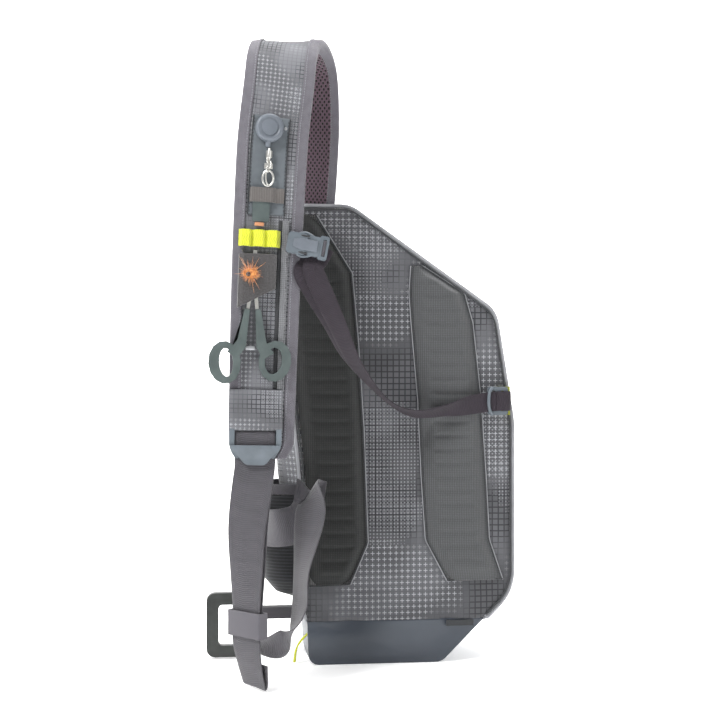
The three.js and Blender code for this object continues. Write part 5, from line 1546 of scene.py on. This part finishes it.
def webbing_route():
    """From the pocket down to the keeper, up through the lock, and down to the folded tail."""
    span = SEWN.y - LOAD_TOP.y
    k = KEEPER_SIDE
    apart = WEBBING_THICKNESS + GAP + 1.2
    swoop = [
        web((SEWN.x + side * WEBBING_WIDTH, SEWN.y - fore * span, height * LOAD_TOP.z), yaw, tip)
        for side, fore, height, yaw, tip in LOAD_ROUTE
    ]
    bar = Vector((0, 0, BAR_TOP))
    down = [
        hung(k, KEEPER_LOW, apart, KEEPER_YAW),
        hung(k, KEEPER_HIGH, apart, KEEPER_YAW),
        hung(k, 0.5, apart + 1, 142),
        hung(0.8 * k, 0.7, apart + 1, 158),
        hung(0.2 * k, 0.86, 2, 174),
        web(LOAD_TOP - Vector((0, 0, 14)), 180),
        web(LOAD_TOP + bar - Vector((0, 0, 1.2)), 180),
        web(LOAD_TOP.lerp(TAIL_TOP, 0.5) + bar + Vector((0, 0, 2.2)), 180),
        web(TAIL_TOP + bar - Vector((0, 0, 1.2)), 180),
        web(TAIL_TOP - Vector((0, 0, 18)), 180),
        hung(0.3 * k, 0.84, -2, 172),
        hung(0.9 * k, 0.66, -1, 155),
        hung(k, 0.48, 0, 140),
        hung(k, KEEPER_HIGH, 0, KEEPER_YAW),
        hung(k, KEEPER_LOW, 0, KEEPER_YAW),
        hung(0.6 * k, 0.1, 0, 124),
    ]
    foot, wide = hung(0.2 * k, 0, 0, TAIL_YAW)
    floor = 1.5 + WEBBING_THICKNESS
    away = math.radians(TAIL_YAW - 90)
    fold = []
    for off, z in ((0, floor + 5), (1.4, floor), (3.4, floor + 5), (3.2, floor + 22)):
        at = Vector((foot.x + off * math.cos(away), foot.y + off * math.sin(away), z))
        fold.append((at, wide))
    return Route(swoop + down + fold, 1200)


class SLING_OT_webbing(Operator):
    """Ladder lock, the long webbing and its keeper"""

    bl_idname = "sling.webbing"
    bl_label = "Long webbing"

    def execute(self, context):
        route = webbing_route()
        band = route.band(WEBBING_WIDTH, WEBBING_THICKNESS, 620, 9)
        finished("long_webbing", band, "webbing", ("main_webbing",))
        self.lock()
        softened("webbing_keeper", "keeper_loop", "keeper_tape", 0.5, 3)
        return {"FINISHED"}

    def lock(self):
        """The ladder lock, whose sides draw in towards its tongue."""
        mesh = copy_of("ladder_lock")
        low, high = (Vector(corner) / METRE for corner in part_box("ladder_lock"))
        knee = mix(low.z, high.z, 0.5)
        middle = (low.x + high.x) / 2
        for height in (knee, mix(low.z, knee, 0.5), mix(low.z, knee, 0.25)):
            parts = mesh.verts[:] + mesh.edges[:] + mesh.faces[:]
            bmesh.ops.bisect_plane(mesh, geom=parts, plane_co=(0, 0, height), plane_no=(0, 0, 1))
        for vert in mesh.verts:
            share = max(0, (knee - vert.co.z) / (knee - low.z))
            vert.co.x = mix(vert.co.x, middle, 0.4 * share**1.3)
        nodes, modifiers = ("ladder_lock",), [rounded(0.8, 3)]
        finished("strap_ladder_lock", mesh, "acetal", nodes, modifiers, 50)


BUCKLE_TILT = math.radians(-8)
BUCKLE = (0.505, 37, OVER + 4)
SIDE_LOCK_Z = 0.577 * BAG_HEIGHT
# From the buckle to the right edge: shares of the way to the side, in depth and in height, and
# the way that the webbing's width points
STABILISER_ROUTE = [
    (0.045, 0.04, 0.13, -5, 14),
    (0.13, 0.16, 0.4, -35, 12),
    (0.23, 0.39, 0.7, -60, 8),
    (0.39, 0.65, 0.97, -88, 4),
    (0.55, 0.82, 1.09, -88, 22),
    (0.72, 0.93, 1.07, -82, 42),
    (0.85, 0.97, 1.03, -90, 80),
    (0.93, 0.995, 1.01, -90, 90),
    (1, 1, 1, -90, 90),
]


class SLING_OT_buckles(Operator):
    """Side-release buckle, stabiliser webbing and the lock on the right"""

    bl_idname = "sling.buckles"
    bl_label = "Buckles"

    def execute(self, context):
        spot = dock(BUCKLE[1], dock_z(BUCKLE[0]), BUCKLE[2], BUCKLE_TILT)
        start = spot @ Vector((7, -21, 4))
        lock_x = outline_x(SIDE_LOCK_Z, 1) - 12
        lock_y = PANEL_Y - 9.5
        end = Vector((lock_x + 2, lock_y - 0.9 - GAP, SIDE_LOCK_Z))
        stations = [
            web(spot @ Vector((16.5, 2, -0.9)), 0, -6),
            web(spot @ Vector((13, -10, -0.4)), 0, 2),
            web(spot @ Vector((9.5, -20, 2.2)), 0, 8),
        ]
        for side, deep, height, yaw, tip in STABILISER_ROUTE:
            at = (mix(start.x, end.x, side), mix(start.y, end.y, deep), mix(start.z, end.z, height))
            stations.append(web(at, yaw, tip))
        route = Route(stations, 600)
        band = route.band(20, 1.4, 320, 6)
        finished("stabiliser_band", band, "strap_web", ("stabiliser_webbing",))
        self.second_strand(spot, route)
        self.latch(spot)
        self.wrap(Vector((lock_x, lock_y, end.z)))
        softened("buckle_socket", "buckle_socket_shell", "acetal", 0.9)
        softened("buckle_plug", "buckle_plug_shell", "acetal", 0.8)
        softened("buckle_tab", "buckle_anchor_tape", "tape", 0.3)
        softened("ladder_lock_right", "side_ladder_lock", "acetal", 0.8)
        # The lock's tab is the bright tape darkened as painted shade.
        softened("lock_tab", "side_lock_tab", "olive", 0.3)
        return {"FINISHED"}

    def second_strand(self, spot, route):
        """The free end of the stabiliser, which leaves the yoke on its left and lies behind."""
        stations = [web(spot @ Vector((9, -2, -2.4)), -10)]
        stations.append(web(spot @ Vector((4.5, -15, -2.2)), -25))
        for k in range(5):
            share = k / 4
            middle, along, across, out = route.frame(mix(0.2, 0.52, share))
            aside = across * -9 * (1 - share)
            stations.append((middle + aside + Vector((0, 3.2, 0)), across))
        strand = Route(stations, 300).band(20, 1.3, 160, 5)
        finished("stabiliser_end", strand, "strap_web", ())

    def wrap(self, lock):
        """The side lock's bowed front bar, and the end of the band wrapped over its others."""
        bow = [Vector((-6, -0.6, 14)), Vector((-9.5, -3.2, 9)), Vector((-10.6, -3.9, 0))]
        bow += [Vector((-9.5, -3.2, -9)), Vector((-6, -0.6, -14))]
        points = [lock + spline(bow, k / 30) for k in range(31)]
        finished("side_lock_bar", tube(points, 1.7, 12), "acetal", ())
        turns = ((-1.5, -2.6), (2.5, -3.0), (7.5, -2.9), (11.4, -1.9), (13.4, 1.6), (13.6, 6.5))
        over = Route([(lock + Vector((x, y, 0)), (0, 0, 1)) for x, y in turns], 200)
        finished("side_lock_wrap", over.band(20, 1.2, 60, 6), "strap_web", ())

    def latch(self, spot):
        """The yoke's wrapped bar, the wedge between the prongs, the prongs and their slots."""
        roll = bmesh.new()
        size = Matrix.Diagonal((3.2, 15.4, 5.6, 1))
        bmesh.ops.create_cube(roll, size=1, matrix=spot @ Matrix.Translation((16, 0, 4.2)) @ size)
        mapped(roll, 2, 0)
        finished("yoke_webbing", roll, "webbing", (), [rounded(1.5, 4)])

        wedge = bmesh.new()
        rim = [(-14, -3.6), (-6, -5.6), (9.4, -5.2), (9.4, 5.2), (-6, 5.6), (-14, 3.6)]
        face = wedge.faces.new([wedge.verts.new((x, y, 7.9)) for x, y in rim])
        raised = bmesh.ops.extrude_face_region(wedge, geom=[face])["geom"]
        moved_part(wedge, raised, (0, 0, 0.9))
        bmesh.ops.recalc_face_normals(wedge, faces=wedge.faces)
        bmesh.ops.transform(wedge, matrix=spot, verts=wedge.verts)
        finished("buckle_wedge", wedge, "puck", (), [rounded(0.4, 3)], 40)

        prongs = bmesh.new()
        slots = bmesh.new()
        for side in (-1, 1):
            bows = ((5, 8.4), (1, 10.2), (-4, 11.2), (-9, 9.6))
            bend = [Vector((x, side * y, 4.4)) for x, y in bows]
            points = [spot @ spline(bend, k / 20) for k in range(21)]
            lay(prongs, points, 1.5)
            size = Matrix.Diagonal((4.6, 1.1, 0.5, 1))
            at = spot @ Matrix.Translation((-3.2, side * 8.1, 8.0))
            bmesh.ops.create_uvsphere(slots, u_segments=20, v_segments=8, radius=1, matrix=at @ size)
        finished("buckle_prongs", prongs, "acetal", ())
        finished("buckle_slots", slots, "zip", ())


# The pocket's spread at shares of its height, from its foot to its hem
POCKET_SECTIONS = [
    (0.37, 0.3),
    (0.4, 0.62),
    (0.48, 0.88),
    (0.68, 1),
    (0.9, 0.98),
    (1, 0.94),
    (1.1, 0.93),
]


class SLING_OT_side(Operator):
    """Bottle pocket, moulded loop with its tape, and the bright pull"""

    bl_idname = "sling.side"
    bl_label = "Left side"

    def execute(self, context):
        pocket = self.pocket(0.37, 0.998, 0.0, 60)
        finished("stretch_pocket", pocket, "pocket", ("bottle_pocket",), [wall(1.6, -1)])
        hem = self.pocket(1.0, 1.063, -0.6, 10)
        finished("pocket_hem_band", hem, "hem_tape", ("pocket_hem",), [wall(2.0, -1)])
        softened("loop_handle", "moulded_loop", "nylon", 2.0, 4, 60)
        softened("handle_tape", "loop_tape", "hem_tape", 0.4)
        y = PANEL_Y + 10
        side = outline_x(BOOT_HEIGHT, -1)
        route = Route(
            [
                ((side + 2, y, 0.72 * BOOT_HEIGHT), (0, 1, 0)),
                ((side - 7, y, 0.5 * BOOT_HEIGHT), (0, 1, 0)),
                ((side - 11, y, 0.3 * BOOT_HEIGHT), (0.3, 1, 0)),
                ((side - 12.5, y, 1.5), (0.5, 1, 0)),
            ]
        )
        finished("bright_pull", route.band(5, 1.8, 40, 4), "accent", ("base_pull",))
        return {"FINISHED"}

    def pocket(self, low, high, inset, rows):
        """A stretch of the pocket's wall, without what lies inside the body."""

        def place(u, v):
            share = mix(low, high, v)
            spread = between(POCKET_SECTIONS, share)
            rx = spread * (POCKET_BULGE + 4) - inset
            ry = spread * POCKET_DEPTH / 2 - inset
            turn = 2 * math.pi * u
            c, s = math.cos(turn), math.sin(turn)
            x = rx * math.copysign(abs(c) ** 0.8, c)
            y = ry * math.copysign(abs(s) ** 0.8, s)
            slack = 1 + 0.012 * rough(turn * 12, 4, share * 160, 14)
            return Vector((POCKET_X + x * slack, POCKET_Y + y * slack, share * POCKET_TOP))

        mesh = bent_grid(140, rows, place, (240, (high - low) * POCKET_TOP))
        bmesh.ops.remove_doubles(mesh, verts=mesh.verts, dist=0.001)
        inner = [f for f in mesh.faces if self.inside(f.calc_center_median())]
        bmesh.ops.delete(mesh, geom=inner, context="FACES")
        bmesh.ops.recalc_face_normals(mesh, faces=mesh.faces)
        outward = sum(f.normal.x for f in mesh.faces if f.calc_center_median().x < POCKET_X - 20)
        if outward > 0:
            bmesh.ops.reverse_faces(mesh, faces=mesh.faces)
        return mesh

    def inside(self, at):
        """Whether a point lies within the body's outline."""
        return at.x > outline_x(at.z, -1) + 1


class SLING_PT_panel(Panel):
    """Lists the pieces of the bag"""

    bl_label = "Sling bag"
    bl_space_type = "VIEW_3D"
    bl_region_type = "UI"
    bl_category = "Sling bag"

    def draw(self, context):
        for name in BagSettings.__annotations__:
            self.layout.prop(context.scene.sling_bag, name)
        for operator in OPERATORS:
            self.layout.operator(operator.bl_idname)


OPERATORS = (
    SLING_OT_stage,
    SLING_OT_body,
    SLING_OT_pads,
    SLING_OT_strap,
    SLING_OT_docks,
    SLING_OT_tools,
    SLING_OT_webbing,
    SLING_OT_buckles,
    SLING_OT_side,
)
CLASSES = (BagSettings, *OPERATORS, SLING_PT_panel)


def register():
    for made in CLASSES:
        bpy.utils.register_class(made)
    bpy.types.Scene.sling_bag = PointerProperty(type=BagSettings)


def unregister():
    del bpy.types.Scene.sling_bag
    for made in reversed(CLASSES):
        bpy.utils.unregister_class(made)


def main():
    """Makes every piece in turn."""
    register()
    make_materials()
    for operator in OPERATORS:
        group, name = operator.bl_idname.split(".")
        getattr(getattr(bpy.ops, group), name)()


if __name__ == "__main__":
    main()
